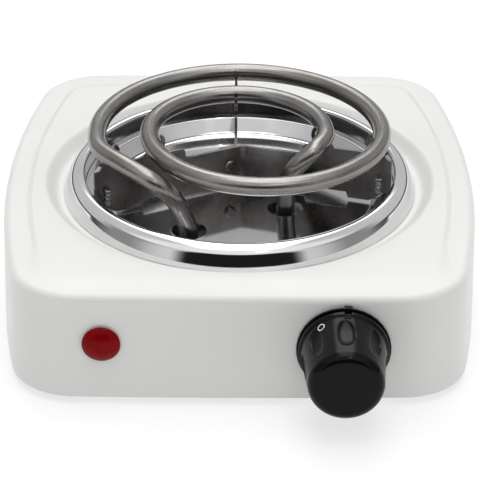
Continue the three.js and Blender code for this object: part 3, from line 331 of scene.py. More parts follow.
def cutter(radius, half, segments, place):
    """A cylinder that cuts a round hole, half to each side of its place."""
    points, faces = lathe([(0, -half), (radius, -half), (radius, half), (0, half)], segments)
    return piece("cutter", points, faces, place)


def smoothstep(x, low, high):
    t = min(1, max(0, (x - low) / (high - low)))
    return t * t * (3 - 2 * t)


# ---- Materials ----

class Finish:
    """A material on one Principled shader, whose values come from patterns in the piece's own space."""

    def __init__(self, name, **fixed):
        self.material = bpy.data.materials.new(name)
        self.material.use_nodes = True
        self.tree = self.material.node_tree
        self.shader = self.tree.nodes["Principled BSDF"]
        for socket, value in fixed.items():
            self.shader.inputs[socket.replace("_", " ")].default_value = value
        self.normal = None

    def node(self, kind, **inputs):
        made = self.tree.nodes.new("ShaderNode" + kind)
        for socket, value in inputs.items():
            self.feed(made.inputs[socket.replace("_", " ")], value)
        return made

    def feed(self, socket, value):
        if isinstance(value, bpy.types.NodeSocket):
            self.tree.links.new(value, socket)
        else:
            socket.default_value = value

    def space(self, scale=(1, 1, 1), centre=(0, 0, 0), uv=False):
        coordinates = self.node("TexCoord").outputs["UV" if uv else "Object"]
        moved = self.node("VectorMath")
        moved.operation = "SUBTRACT"
        self.feed(moved.inputs[0], coordinates)
        self.feed(moved.inputs[1], tuple(centre))
        stretched = self.node("VectorMath")
        stretched.operation = "MULTIPLY"
        self.feed(stretched.inputs[0], moved.outputs[0])
        self.feed(stretched.inputs[1], tuple(scale))
        return stretched.outputs[0]

    def noise(self, space, scale, detail=3, roughness=0.5):
        made = self.node("TexNoise", Vector=space, Scale=scale, Detail=detail, Roughness=roughness)
        return made.outputs["Fac"]

    def length(self, vector):
        made = self.node("VectorMath")
        made.operation = "LENGTH"
        self.feed(made.inputs[0], vector)
        return made.outputs["Value"]

    def remap(self, value, low, high, to_low=0, to_high=1):
        ranged = self.node("MapRange", Value=value)
        ends = {"From Min": low, "From Max": high, "To Min": to_low, "To Max": to_high}
        for socket, number in ends.items():
            ranged.inputs[socket].default_value = number
        return ranged.outputs["Result"]

    def math(self, operation, a, b):
        made = self.node("Math")
        made.operation = operation
        self.feed(made.inputs[0], a)
        self.feed(made.inputs[1], b)
        return made.outputs[0]

    def mix(self, factor, a, b):
        made = self.node("Mix")
        made.data_type = "RGBA"
        for socket, value in zip((made.inputs[0], made.inputs[6], made.inputs[7]), (factor, a, b)):
            self.feed(socket, (*value, 1) if isinstance(value, tuple) else value)
        return made.outputs[2]

    def colour(self, value):
        self.feed(self.shader.inputs["Base Color"], value)

    def rough(self, value):
        self.feed(self.shader.inputs["Roughness"], value)

    def bump(self, height, distance, strength):
        made = self.node("Bump", Height=height, Distance=distance, Strength=strength)
        if self.normal:
            self.feed(made.inputs["Normal"], self.normal)
        self.normal = made.outputs["Normal"]
        self.feed(self.shader.inputs["Normal"], self.normal)


def enamel():
    """Stove enamel: faint orange peel, a slightly uneven tone and small pale specks."""
    f = Finish("white_enamel", Coat_Weight=0.1, Coat_Roughness=0.15, Specular_IOR_Level=0.35)
    space = f.space()
    tone = f.remap(f.noise(space, 14, 4), 0.3, 0.7)
    specks = f.remap(f.noise(space, 900, 1), 0.72, 0.78)
    f.colour(f.mix(specks, f.mix(tone, (0.72, 0.724, 0.702), (0.752, 0.756, 0.735)), (0.69, 0.692, 0.67)))
    f.rough(f.remap(f.noise(space, 60, 3), 0.3, 0.7, 0.3, 0.42))
    f.bump(f.noise(space, 420, 2), 0.00012, 0.16)
    return f.material


def spun_chrome(name, dark, light, smoothest, roughest):
    """Bright plated sheet with the fine circular marks of spinning and polishing."""
    f = Finish(name, Metallic=1.0)
    flattened = f.space(scale=(1, 1, 0.3), centre=(BURNER_ORIGIN.x, BURNER_ORIGIN.y, 0))
    ring = f.node("CombineXYZ", X=f.length(flattened))
    marks = f.noise(ring.outputs[0], 2600, 4, 0.7)
    cloud = f.noise(f.space(), 30, 4)
    f.colour(f.mix(f.remap(cloud, 0.3, 0.7), dark, light))
    wear = f.math("MULTIPLY", f.remap(marks, 0.3, 0.75), f.remap(cloud, 0.25, 0.75, 0.4, 1))
    f.rough(f.remap(wear, 0, 1, smoothest, roughest))
    f.bump(marks, 0.00002, 0.12)
    return f.material


def sheath_steel():
    """Drawn steel tube: streaks along its length, brownish heat tint and a mottled satin surface."""
    f = Finish("sheath_steel", Metallic=0.95)
    streaks = f.noise(f.space(scale=(9, 14, 1), uv=True), 3.2, 5, 0.65)
    fine = f.noise(f.space(scale=(40, 60, 1), uv=True), 3, 4, 0.6)
    patches = f.noise(f.space(), 38, 4, 0.6)
    grit = f.noise(f.space(), 700, 2)
    base = f.mix(f.remap(streaks, 0.3, 0.7), (0.17, 0.162, 0.154), (0.36, 0.352, 0.342))
    tinted = f.mix(f.remap(patches, 0.46, 0.74, 0, 0.5), base, (0.22, 0.19, 0.162))
    f.colour(f.mix(f.remap(fine, 0.6, 0.8, 0, 0.45), tinted, (0.45, 0.44, 0.425)))
    uneven = f.math("MULTIPLY", f.remap(streaks, 0.25, 0.75, 0.6, 1), f.remap(grit, 0.2, 0.8, 0.7, 1))
    f.rough(f.remap(uneven, 0.4, 1, 0.17, 0.3))
    f.bump(fine, 0.00012, 0.3)
    f.bump(grit, 0.00005, 0.35)
    return f.material


def plate_steel():
    """Dark plated support sheet with smudges and a fine rolled grain."""
    f = Finish("support_steel", Metallic=1.0)
    space = f.space()
    smudge = f.noise(space, 55, 5, 0.6)
    grain = f.noise(f.space(scale=(1, 1, 9)), 320, 3)
    f.colour(f.mix(f.remap(smudge, 0.35, 0.7), (0.12, 0.112, 0.108), (0.25, 0.24, 0.23)))
    f.rough(f.remap(smudge, 0.3, 0.7, 0.22, 0.36))
    f.bump(grain, 0.00004, 0.35)
    return f.material


def plated(name, dark, light, roughness):
    """Plated or turned small metal parts with light handling wear."""
    f = Finish(name, Metallic=1.0)
    space = f.space()
    cloud = f.noise(space, 120, 4, 0.6)
    f.colour(f.mix(f.remap(cloud, 0.3, 0.7), dark, light))
    f.rough(f.remap(cloud, 0.3, 0.7, roughness * 0.75, roughness * 1.25))
    f.bump(f.noise(space, 1500, 2), 0.00004, 0.4)
    return f.material


def gloss_plastic():
    """Glossy black thermoset with faint rubbing marks."""
    f = Finish("black_plastic", Specular_IOR_Level=0.13)
    space = f.space()
    rubbed = f.noise(f.space(scale=(1, 0.25, 1)), 240, 5, 0.7)
    haze = f.noise(space, 50, 3)
    f.colour(f.mix(f.remap(haze, 0.3, 0.7), (0.0022, 0.0022, 0.0024), (0.0045, 0.0045, 0.0045)))
    f.rough(f.remap(rubbed, 0.35, 0.7, 0.11, 0.2))
    f.bump(rubbed, 0.00002, 0.2)
    return f.material


def moulded(name, dark, light, low, high, scale=260):
    """Matt moulded or fired parts: rubber, ceramic, insulation and plain plastic."""
    f = Finish(name)
    space = f.space()
    cloud = f.noise(space, 45, 4)
    grain = f.noise(space, scale * 4, 3)
    f.colour(f.mix(f.remap(cloud, 0.3, 0.7), dark, light))
    f.rough(f.remap(grain, 0.3, 0.7, low, high))
    f.bump(grain, 0.0001, 0.4)
    return f.material


def lens_red():
    """Deep red moulded lens, darker in a round patch above and right of its middle."""
    f = Finish("red_lens", Specular_IOR_Level=0.06, IOR=1.49)
    centre = tuple(LENS_ORIGIN)
    space = f.space(centre=centre)
    cloud = f.noise(space, 130, 3)
    # darker round patch, 1.6 mm right of and 3.6 mm above the lens's middle, fading out by 4.6 mm
    corner = f.space(centre=(centre[0] + 0.0016, centre[1], centre[2] + 0.0036))
    patch = f.remap(f.length(corner), 0.001, 0.0046, 1, 0)
    body = f.mix(f.remap(cloud, 0.3, 0.7), (0.17, 0.0016, 0.003), (0.23, 0.0026, 0.005))
    f.colour(f.mix(f.math("MULTIPLY", patch, 0.75), body, (0.05, 0.001, 0.0015)))
    f.rough(f.remap(cloud, 0.3, 0.7, 0.12, 0.24))
    f.bump(f.noise(space, 900, 2), 0.00003, 0.3)
    return f.material


def mark_paint():
    f = Finish("dial_mark")
    cloud = f.noise(f.space(), 900, 3)
    f.colour(f.mix(f.remap(cloud, 0.3, 0.7), (0.7, 0.7, 0.68), (0.85, 0.85, 0.83)))
    f.rough(f.remap(cloud, 0.3, 0.7, 0.4, 0.6))
    f.bump(cloud, 0.00002, 0.3)
    return f.material


FINISHES = {
    "white_paint": enamel(),
    "chrome": spun_chrome("ring_chrome", (0.74, 0.74, 0.75), (0.84, 0.84, 0.85), 0.05, 0.1),
    "bowl_chrome": spun_chrome("bowl_chrome", (0.5, 0.5, 0.51), (0.62, 0.62, 0.63), 0.05, 0.12),
    "sheath_steel": sheath_steel(),
    "support_steel": plate_steel(),
    "zinc_steel": plated("zinc_steel", (0.5, 0.51, 0.52), (0.66, 0.67, 0.68), 0.34),
    "brass": plated("brass", (0.55, 0.42, 0.19), (0.7, 0.55, 0.27), 0.3),
    "black_plastic": gloss_plastic(),
    "black_rubber": moulded("black_rubber", (0.012, 0.012, 0.012), (0.03, 0.03, 0.03), 0.65, 0.9),
    "white_plastic": moulded("white_plastic", (0.66, 0.66, 0.62), (0.76, 0.76, 0.72), 0.4, 0.55),
    "ceramic": moulded("ceramic", (0.66, 0.6, 0.5), (0.8, 0.74, 0.64), 0.6, 0.85),
    "lead_insulation": moulded("lead_insulation", (0.42, 0.4, 0.35), (0.52, 0.5, 0.44), 0.6, 0.8, 500),
    "earth_insulation": moulded("earth_insulation", (0.1, 0.28, 0.05), (0.2, 0.36, 0.05), 0.55, 0.75, 500),
    "red_lens": lens_red(),
}


# ---- Housing ----

def arc_radius(half_chord, height):
    return (half_chord**2 + height**2) / (2 * height)


def outline(width, depth, corner, inset):
    """Rounded square of eight tangent arcs, moved in by inset; the same count of points at any inset."""
    side = arc_radius(depth / 2, SIDE_BOW)
    end = arc_radius(width / 2, END_BOW)
    side_x, end_y = width / 2 - side, depth / 2 - end
    span = math.hypot(side_x, end_y)
    from_side = side - corner
    along = (from_side**2 - (end - corner) ** 2 + span**2) / (2 * span)
    across = math.sqrt(from_side**2 - along**2)
    corner_x = side_x - (along * side_x + across * end_y) / span
    corner_y = (along * end_y - across * side_x) / span
    side_end = math.degrees(math.atan2(corner_y, corner_x - side_x))
    end_start = math.degrees(math.atan2(corner_y - end_y, corner_x))
    half = [
        *arc(side_x, 0, side - inset, -side_end, side_end, 40)[:-1],
        *arc(corner_x, corner_y, corner - inset, side_end, end_start, 24)[:-1],
        *arc(0, end_y, end - inset, end_start, 180 - end_start, 32)[:-1],
        *arc(-corner_x, corner_y, corner - inset, 180 - end_start, 180 - side_end, 24)[:-1],
    ]
    return half + [(-x, -y) for x, y in half]


def rim_ring(inset, z):
    """A ring of the drafted wall, a hair smaller so that its arcs stay inside the CAD's facets."""
    lean = WALL_DRAFT * (1 - z / HOUSING_HEIGHT)
    ring = outline(HOUSING_WIDTH, HOUSING_DEPTH, CORNER_RADIUS, inset)
    wide = (1 + 2 * lean / HOUSING_WIDTH) * (HIGH.x - LOW.x) / MM / (HOUSING_WIDTH + 2 * WALL_DRAFT)
    deep = (1 + 2 * lean / HOUSING_DEPTH) * (HIGH.y - LOW.y) / MM / (HOUSING_DEPTH + 2 * WALL_DRAFT)
    return [(x * wide, y * deep, z) for x, y in ring]


def panel_outline(inset):
    width = HOUSING_WIDTH - 2 * PLATEAU_SIDE_INSET
    depth = HOUSING_DEPTH - 2 * PLATEAU_END_INSET
    return outline(width, depth, PLATEAU_CORNER_RADIUS, inset)


def panel_ring(inset, share):
    """A ring of the raised panel's edge, whose step spreads out and is lost towards the front."""
    spread = FADE_OUT * (1 - inset / PLATEAU_SLOPE)
    narrow, wide = panel_outline(inset), panel_outline(inset - spread)
    ring = []
    for (x0, y0), (x1, y1) in zip(narrow, wide):
        fade = smoothstep(-y0, FADE_START, FADE_END)
        x, y = x0 + (x1 - x0) * fade, y0 + (y1 - y0) * fade
        ring.append((x, y, HOUSING_HEIGHT + PLATEAU_RISE * share))
    return ring


def well_ring(radius, z):
    """A ring of the burner's well with its points opposite the panel's points."""
    burner_y = (BURNER_ORIGIN.y - HOUSING_ORIGIN.y) / MM
    angles = [math.atan2(y - burner_y, x) for x, y, _ in panel_ring(PLATEAU_SLOPE, 1)]
    return [(radius * math.cos(t), burner_y + radius * math.sin(t), z) for t in angles]


def blend_rings(a, b, share):
    return [tuple(np.array(p) * (1 - share) + np.array(q) * share) for p, q in zip(a, b)]


def soft_slope(steps):
    """Shares of an S-shaped step: (across, up) from 0 to 1."""
    return [(t, smoothstep(t, 0, 1)) for t in np.linspace(0, 1, steps + 1)]


def build_housing():
    rings = [rim_ring(0, z) for z in np.linspace(0, HOUSING_HEIGHT - RIM_FILLET, 8)]
    for t in np.radians(np.linspace(0, 90, 13)[1:]):
        inset = RIM_FILLET * (1 - math.cos(t))
        rings.append(rim_ring(inset, HOUSING_HEIGHT - RIM_FILLET * (1 - math.sin(t))))
    start = panel_ring(0, 0)
    rings += [blend_rings(rings[-1], start, share) for share in (0.12, 0.5, 0.9)]
    rings += [panel_ring(PLATEAU_SLOPE * across, up) for across, up in soft_slope(8)]
    inner = panel_ring(PLATEAU_SLOPE, 1)
    brow = WELL_RIM_RADIUS + WELL_BROW
    approach = well_ring(brow, PANEL_TOP)
    rings += [blend_rings(inner, approach, share) for share in (0.08, 0.4, 0.75, 1)]
    for across, up in soft_slope(12)[1:]:
        radius = brow + (WELL_FOOT_RADIUS - brow) * across
        rings.append(well_ring(radius, PANEL_TOP + (WELL_LEDGE - PANEL_TOP) * up))
    rings += [well_ring(radius, WELL_LEDGE) for radius in (WELL_FOOT_RADIUS - 1, WELL_OPENING_RADIUS)]
    made = piece("housing_shell", *loft(rings), standing(HOUSING_ORIGIN), sharp=60)
    shell = made.modifiers.new("sheet", "SOLIDIFY")
    shell.thickness = SHEET * MM
    shell.offset = -1
    shell.use_even_offset = True
    bpy.context.view_layer.update()
    apply_modifiers(made)
    bores = {"thermostat_bush": BUSH_BORE, "lamp_body": LAMP_BORE, "cord_gland": GLAND_BORE}
    cut(made, [wall_cutter(node, radius) for node, radius in bores.items()])
    smooth(made, 50)
    return dress(made, FINISHES["white_paint"], replaces=["housing"])


def wall_cutter(node, radius):
    """A bore along Y through the wall that the node passes."""
    return cutter(radius, WALL_CUT, 40, facing(middle_of(node)))


# ---- Trim ring and drip bowl ----

def build_ring():
    crest_z = CREST_TOP - CREST_OUTER_ROUND
    inner_z = CREST_TOP - CREST_INNER_ROUND
    out, down = RING_RADIUS - CREST_RADIUS, RING_FOOT - crest_z
    lean = math.degrees(math.atan2(down, out) + math.acos(CREST_OUTER_ROUND / math.hypot(out, down)))
    flange_top = RING_FOOT + RING_SHEET
    outer = [
        (RING_RADIUS, RING_FOOT),
        *arc(CREST_RADIUS, crest_z, CREST_OUTER_ROUND, lean, 90, 16),
        *arc(CREST_RADIUS, inner_z, CREST_INNER_ROUND, 90, 180, 12)[1:],
        (RING_BORE, flange_top + 0.5),
        *arc(RING_BORE - 0.5, flange_top + 0.5, 0.5, 0, -90, 5)[1:],
        (RING_FLANGE_RADIUS, flange_top),
    ]
    under = [
        (RING_FLANGE_RADIUS, RING_FOOT),
        (RING_BORE + RING_SHEET - 0.4, RING_FOOT),
        (RING_BORE + RING_SHEET, RING_FOOT + 0.4),
        *arc(CREST_RADIUS, inner_z, CREST_INNER_ROUND - RING_SHEET, 180, 90, 8),
        *arc(CREST_RADIUS, crest_z, CREST_OUTER_ROUND - RING_SHEET, 90, lean, 12)[1:],
        (RING_RADIUS - RING_SHEET / math.cos(math.radians(lean)), RING_FOOT),
    ]
    made = piece("trim_ring_plated", *lathe(outer + under, 256, closed=True), standing(BURNER_ORIGIN))
    return dress(made, FINISHES["chrome"], replaces=["trim_ring"])


def build_bowl():
    top = rounded([
        (BOWL_RIM_RADIUS, BOWL_LEDGE),
        (BOWL_LEDGE_RADIUS, BOWL_LEDGE, 1.2),
        (BOWL_FLOOR_RADIUS, BOWL_FLOOR, 3.5),
        (8, BOWL_FLOOR),
        (0, BOWL_FLOOR),
    ])
    under = rounded([
        (0, BOWL_FLOOR - BOWL_SHEET),
        (8, BOWL_FLOOR - BOWL_SHEET),
        (BOWL_FLOOR_RADIUS + 0.4, BOWL_FLOOR - BOWL_SHEET, 4),
        (BOWL_LEDGE_RADIUS + 0.4, BOWL_LEDGE - BOWL_SHEET, 0.8),
        (BOWL_RIM_RADIUS, BOWL_LEDGE - BOWL_SHEET),
    ])
    rim = arc(BOWL_RIM_RADIUS - 0.4, BOWL_LEDGE - 0.4, 0.4, -90, 90, 6)[1:-1]
    points, faces = lathe([*reversed(rim), *top, *under][::-1], 192, closed=True)
    made = piece("drip_bowl_plated", points, faces, standing(BURNER_ORIGIN))
    cut(made, [bowl_cutter(LEG_A), bowl_cutter(LEG_B)])
    smooth(made)
    return dress(made, FINISHES["bowl_chrome"], replaces=["drip_bowl"])


def bowl_cutter(leg):
    middle = BURNER_ORIGIN + Vector((leg[0], leg[1], BOWL_FLOOR)) * MM
    return cutter(LEG_HOLE_RADIUS, BOWL_CUT, 64, standing(middle))


# ---- Coil element ----

def coil_radius(degrees):
    shrink = smoothstep(-degrees, -OUTER_TURN_END, -INNER_TURN_START)
    settle = smoothstep(-degrees, -INNER_TURN_START, -INNER_TURN_END)
    spiral = OUTER_TURN_RADIUS + (INNER_TURN_RADIUS - OUTER_TURN_RADIUS) * shrink
    return spiral - settle * (INNER_TURN_RADIUS - INNER_TURN_END_RADIUS)


def sheath_points():
    """Up the front left leg, round the outer turn, in along the front, round the inner turn and down."""
    (ax, ay), (bx, by), top = LEG_A, LEG_B, COIL_HEIGHT
    rise = [
        (ax, ay, LEG_END_HEIGHT),
        (ax, ay, LEG_END_HEIGHT + 6),
        (ax, ay, LEG_END_HEIGHT + 12),
        (ax - 3.2, ay - 2.4, top - 20),
        (ax - 7.5, ay - 4.6, top - 11.2),
        (ax - 14.8, ay - 5, top - 4.4),
        (ax - 27, ay + 3.5, top - 0.8),
    ]
    turn = OUTER_TURN_START - INNER_TURN_END
    count = round(turn / 15)
    round_points = []
    for i in range(count + 1):
        degrees = OUTER_TURN_START - turn * i / count
        radius, t = coil_radius(degrees), math.radians(degrees)
        round_points.append((radius * math.cos(t), radius * math.sin(t), top))
    fall = [
        (bx + 12.5, by - 1, top - 1.5),
        (bx + 4.8, by - 3.4, top - 8),
        (bx + 0.6, by - 0.8, top - 18),
        (bx, by, LEG_END_HEIGHT + 12),
        (bx, by, LEG_END_HEIGHT + 6),
        (bx, by, LEG_END_HEIGHT),
    ]
    return rise + round_points + fall


def centripetal(points, steps):
    """A centripetal Catmull-Rom curve through the points, each span in equal steps."""
    points = [np.array(p, float) for p in points]
    points = [2 * points[0] - points[1], *points, 2 * points[-1] - points[-2]]
    out = []
    for p0, p1, p2, p3 in zip(points, points[1:], points[2:], points[3:]):
        d0, d1, d2 = (max(np.linalg.norm(b - a) ** 0.5, 1e-4) for a, b in ((p0, p1), (p1, p2), (p2, p3)))
        m1 = ((p1 - p0) / d0 - (p2 - p0) / (d0 + d1) + (p2 - p1) / d1) * d1
        m2 = ((p2 - p1) / d1 - (p3 - p1) / (d1 + d2) + (p3 - p2) / d2) * d1
        for t in np.arange(steps) / steps:
            a, b = 2 * t**3 - 3 * t**2 + 1, t**3 - 2 * t**2 + t
            c, d = 3 * t**2 - 2 * t**3, t**3 - t**2
            out.append(a * p1 + b * m1 + c * p2 + d * m2)
    out.append(points[-2])
    return out


def sweep(path, radius, sides):
    """Tube along a path, closed at both ends, with the length along it kept for the streaks."""
    rings, lengths, travelled = [], [], 0
    tangents = np.gradient(np.array(path), axis=0)
    tangents /= np.linalg.norm(tangents, axis=1)[:, None]
    side = np.array((1.0, 0, 0))
    for i, (here, tangent) in enumerate(zip(path, tangents)):
        side = side - tangent * (side @ tangent)
        side /= np.linalg.norm(side)
        other = np.cross(tangent, side)
        ring = []
        for k in range(sides):
            t = 2 * math.pi * k / sides
            ring.append(tuple(here + radius * (side * math.cos(t) + other * math.sin(t))))
        rings.append(ring)
        travelled += np.linalg.norm(here - path[i - 1]) if i else 0
        lengths.append(travelled)
    points, faces = loft(rings)
    faces += end_caps(points, sides)
    return points, faces, lengths


def build_coil():
    sides = 32
    path = centripetal(sheath_points(), 10)
    points, faces, lengths = sweep(path, SHEATH_RADIUS, sides)
    made = piece("heating_coil", points, faces, standing(BURNER_ORIGIN))
    layer = made.data.uv_layers.new(name="along")
    for polygon in made.data.polygons:
        around = [made.data.loops[i].vertex_index % sides for i in polygon.loop_indices]
        seam = max(around) - min(around) > 1
        for i, k in zip(polygon.loop_indices, around):
            ring = made.data.loops[i].vertex_index // sides
            turn = 1 if seam and k == 0 else k / sides
            layer.data[i].uv = (abs(2 * turn - 1), lengths[ring] * MM)
    return dress(made, FINISHES["sheath_steel"], replaces=["heating_element"])


# ---- Coil support ----

def direction(degrees):
    t = math.radians(degrees)
    return np.array((math.cos(t), math.sin(t)))


def crossings(start, degrees):
    """Distances along an arm at which it passes under the coil."""
    along = direction(degrees)
    across = np.array((-along[1], along[0]))
    path = [p[:2] - np.array(start) for p in centripetal(sheath_points(), 20)]
    found = []
    for a, b in zip(path, path[1:]):
        side_a, side_b = across @ a, across @ b
        if side_a * side_b <= 0 and side_a != side_b:
            distance = along @ (a + (b - a) * side_a / (side_a - side_b))
            if distance > HUB_LENGTH:
                found.append(float(distance))
    return sorted(found)


def reach_to(start, degrees, radius):
    """How far from start the arm reaches the circle round the burner's axis."""
    start, along = np.array(start), direction(degrees)
    lead = start @ along
    return -lead + math.sqrt(lead**2 - start @ start + radius**2)


def hook(distance, last):
    """Outline of the hook that carries the tube: up its inner side, round and under."""
    rise = math.degrees(math.asin((ARM_TOP_HEIGHT - COIL_HEIGHT) / HOOK_OUTER))
    outer_start, outer_end = 180 - rise, LAST_HOOK_END if last else 360 + rise
    tip = math.radians(HOOK_TIP_ANGLE)
    middle = (HOOK_INNER + HOOK_OUTER) / 2
    tip_x, tip_z = distance + middle * math.cos(tip), COIL_HEIGHT + middle * math.sin(tip)
    half = (HOOK_OUTER - HOOK_INNER) / 2
    return [
        *arc(distance, COIL_HEIGHT, HOOK_OUTER, outer_start, HOOK_TIP_ANGLE, 14),
        *arc(tip_x, tip_z, half, HOOK_TIP_ANGLE, HOOK_TIP_ANGLE - 180, 6)[1:-1],
        *arc(distance, COIL_HEIGHT, HOOK_INNER, HOOK_TIP_ANGLE, HOOK_FOOT_ANGLE, 22),
        *arc(distance, COIL_HEIGHT, HOOK_OUTER, HOOK_FOOT_ANGLE, outer_end, 3),
    ]


def arm_outline(start, degrees):
    """Upper edge from the hub to the tip, then the lower edge back, as (distance, height)."""
    tubes = crossings(start, degrees)
    length = reach_to(start, degrees, ARM_TIP_RADIUS)
    upper = [(HUB_LENGTH - 3, HUB_TOP_HEIGHT)]
    upper += arc(HUB_LENGTH, HUB_TOP_HEIGHT + HUB_ROUND, HUB_ROUND, -90, 0, 6)[1:]
    shoulder = HUB_LENGTH + HUB_ROUND + SHOULDER_ROUND
    upper += arc(shoulder, ARM_TOP_HEIGHT - SHOULDER_ROUND, SHOULDER_ROUND, 180, 90, 8)
    for distance in tubes:
        upper += hook(distance, distance == tubes[-1])
    upper += [(tubes[-1] + 3.5, ARM_TIP_HEIGHT)]
    upper += arc(length - 0.6, ARM_TIP_HEIGHT - 0.6, 0.6, 90, 0, 3)
    foot = length - FOOT_LENGTH
    lower = [
        (length, ARM_FOOT),
        (foot, ARM_FOOT),
        (foot - 5, ARM_LOWER + 1),
        (foot - 7, ARM_LOWER),
        (ARM_STEP_END, ARM_LOWER),
        (ARM_STEP_END - 1, ARM_STEP),
        (ARM_STEP_START + 1, ARM_STEP),
        (ARM_STEP_START, ARM_LOWER),
    ]
    return upper, lower


class FoldPath:
    """A folded sheet seen from above: straight, a bend of one radius, straight."""

    def __init__(self, corner, back, onward, radius):
        self.back, self.onward = back, onward
        turn = math.acos(max(-1, min(1, float(-back @ onward))))
        self.reach = radius * math.tan(turn / 2)
        self.length = radius * turn
        inward = (back + onward) / np.linalg.norm(back + onward)
        self.centre = np.array(corner) + inward * radius / math.cos(turn / 2)
        self.corner, self.radius, self.inward, self.turn = np.array(corner), radius, inward, turn

    def at(self, s):
        """Place and unit normal, which points away from the bend's centre, at s from the fold."""
        half = self.length / 2
        if abs(s) < half:
            swing = self.turn * s / self.length
            side = self.onward - self.inward * (self.onward @ self.inward)
            side /= np.linalg.norm(side)
            normal = -self.inward * math.cos(swing) + side * math.sin(swing)
            return self.centre + normal * self.radius, normal
        leg = self.onward if s > 0 else self.back
        edge = self.corner + leg * self.reach
        normal = (edge - self.centre) / self.radius
        return edge + leg * (abs(s) - half), normal

    def flat(self, distance):
        """Distance along the sheet for a distance from the corner."""
        return distance - self.reach + self.length / 2


def folded_sheet(name, outline_points, path):
    """A sheet cut to an outline (distance along the sheet, height), folded along the path."""
    model = bmesh.new()
    face = model.faces.new([model.verts.new((s, 0, z)) for s, z in outline_points])
    made = bmesh.ops.extrude_face_region(model, geom=[face])
    for vertex in (v for v in made["geom"] if isinstance(v, bmesh.types.BMVert)):
        vertex.co.y += SUPPORT_SHEET
    bmesh.ops.recalc_face_normals(model, faces=model.faces)
    rims = [e for e in model.edges if len(e.link_faces) == 2 and e.calc_face_angle() > math.radians(50)]
    rims = [e for e in rims if abs(e.verts[0].co.y - e.verts[1].co.y) < 1e-6]
    bmesh.ops.bevel(
        model, geom=rims, offset=SHEARED_EDGE, segments=2, profile=0.7, affect="EDGES", clamp_overlap=True
    )
    bmesh.ops.triangulate(model, faces=[f for f in model.faces if len(f.verts) > 8])
    for s in np.linspace(-path.length / 2, path.length / 2, BEND_CUTS):
        geometry = [*model.verts, *model.edges, *model.faces]
        bmesh.ops.bisect_plane(model, geom=geometry, plane_co=(s, 0, 0), plane_no=(1, 0, 0), dist=1e-5)
    for vertex in model.verts:
        place, normal = path.at(vertex.co.x)
        x, y = place + normal * (vertex.co.y - SUPPORT_SHEET / 2)
        vertex.co = BURNER_ORIGIN + Vector((x, y, vertex.co.z)) * MM
    if model.calc_volume(signed=True) < 0:
        bmesh.ops.reverse_faces(model, faces=model.faces)
    return finished(name, bpy.data.meshes.new(name), model, FOLD_SHARP)


def build_front_support():
    """One plate folded at the hub, with an arm to each side."""
    path = FoldPath(APEX, direction(LEFT_ARM_ANGLE), direction(RIGHT_ARM_ANGLE), FRONT_BEND)
    right_upper, right_lower = arm_outline(APEX, RIGHT_ARM_ANGLE)
    left_upper, left_lower = arm_outline(APEX, LEFT_ARM_ANGLE)
    points = [(path.flat(d), z) for d, z in right_upper + right_lower]
    points += [(-path.flat(d), z) for d, z in reversed(left_upper + left_lower)]
    made = folded_sheet("support_v_plate", points, path)
    return dress(made, FINISHES["support_steel"], replaces=["support_front"])


def build_rear_support():
    """Rear arm, whose inner end turns to lie on the back of the front plate."""
    left = direction(LEFT_ARM_ANGLE)
    rear = np.array((left[1], -left[0]))
    behind = np.array(APEX) + rear * SHEET_STEP
    corner = behind + left * (REAR_ARM_X - behind[0]) / left[0]
    path = FoldPath(corner, left, np.array((0.0, 1.0)), REAR_BEND)
    upper, lower = arm_outline(tuple(corner), 90)
    flange = -path.flat(FLANGE_LENGTH - np.linalg.norm(corner - behind))
    points = [(path.flat(d), z) for d, z in upper + lower]
    points += [(flange, ARM_LOWER), (flange, HUB_TOP_HEIGHT - 1), (flange + 1, HUB_TOP_HEIGHT)]
    made = folded_sheet("support_rear_arm", points, path)
    return dress(made, FINISHES["support_steel"], replaces=["support_rear"])


CRIMP_RADIUS = 1.5
CRIMP_HEIGHT = 8
CRIMP_INWARD = 5.5  # from the arm's tip
CRIMP_CLEARANCE = 0.15  # to the arm's face
CRIMP_LIFT = 0.3  # above the bowl's ledge
CRIMP_SIDES = 20


def build_crimp(name, degrees):
    """Pinched wire end at an arm's foot: a ribbed, uneven little column on the arm's front."""
    distance = reach_to(APEX, degrees, ARM_TIP_RADIUS) - CRIMP_INWARD
    front = -1 if direction(degrees)[0] > 0 else 1
    off = direction(degrees + 90 * front) * (SUPPORT_SHEET / 2 + CRIMP_RADIUS + CRIMP_CLEARANCE)
    x, y = np.array(APEX) + direction(degrees) * distance + off
    rings = []
    for i, z in enumerate(np.linspace(0, CRIMP_HEIGHT, 41)):
        swell = CRIMP_RADIUS * (0.72 + 0.22 * math.sin(i * 1.9) + 0.06 * math.sin(i * 0.7))
        middle_x = x + 0.25 * math.sin(i * 0.55)
        ring = []
        for k in range(CRIMP_SIDES):
            t = 2 * math.pi * k / CRIMP_SIDES
            radius = swell * (1 + 0.16 * math.sin(3 * t + i * 0.45))
            level = ARM_FOOT + CRIMP_LIFT + z
            ring.append((middle_x + radius * math.cos(t), y + radius * math.sin(t), level))
        rings.append(ring)
    points, faces = loft(rings)
    faces += end_caps(points, CRIMP_SIDES)
    made = piece(name, points, faces, standing(BURNER_ORIGIN))
    return dress(made, FINISHES["zinc_steel"])


# ---- Knob ----

def side_radius(station):
    """Radius of the knob's tapered side at a distance from the wall."""
    share = (station - KNOB_SIDE_START) / (KNOB_SIDE_END - KNOB_SIDE_START)
    return KNOB_SIDE_RADIUS + (KNOB_NOSE_RADIUS - KNOB_SIDE_RADIUS) * share


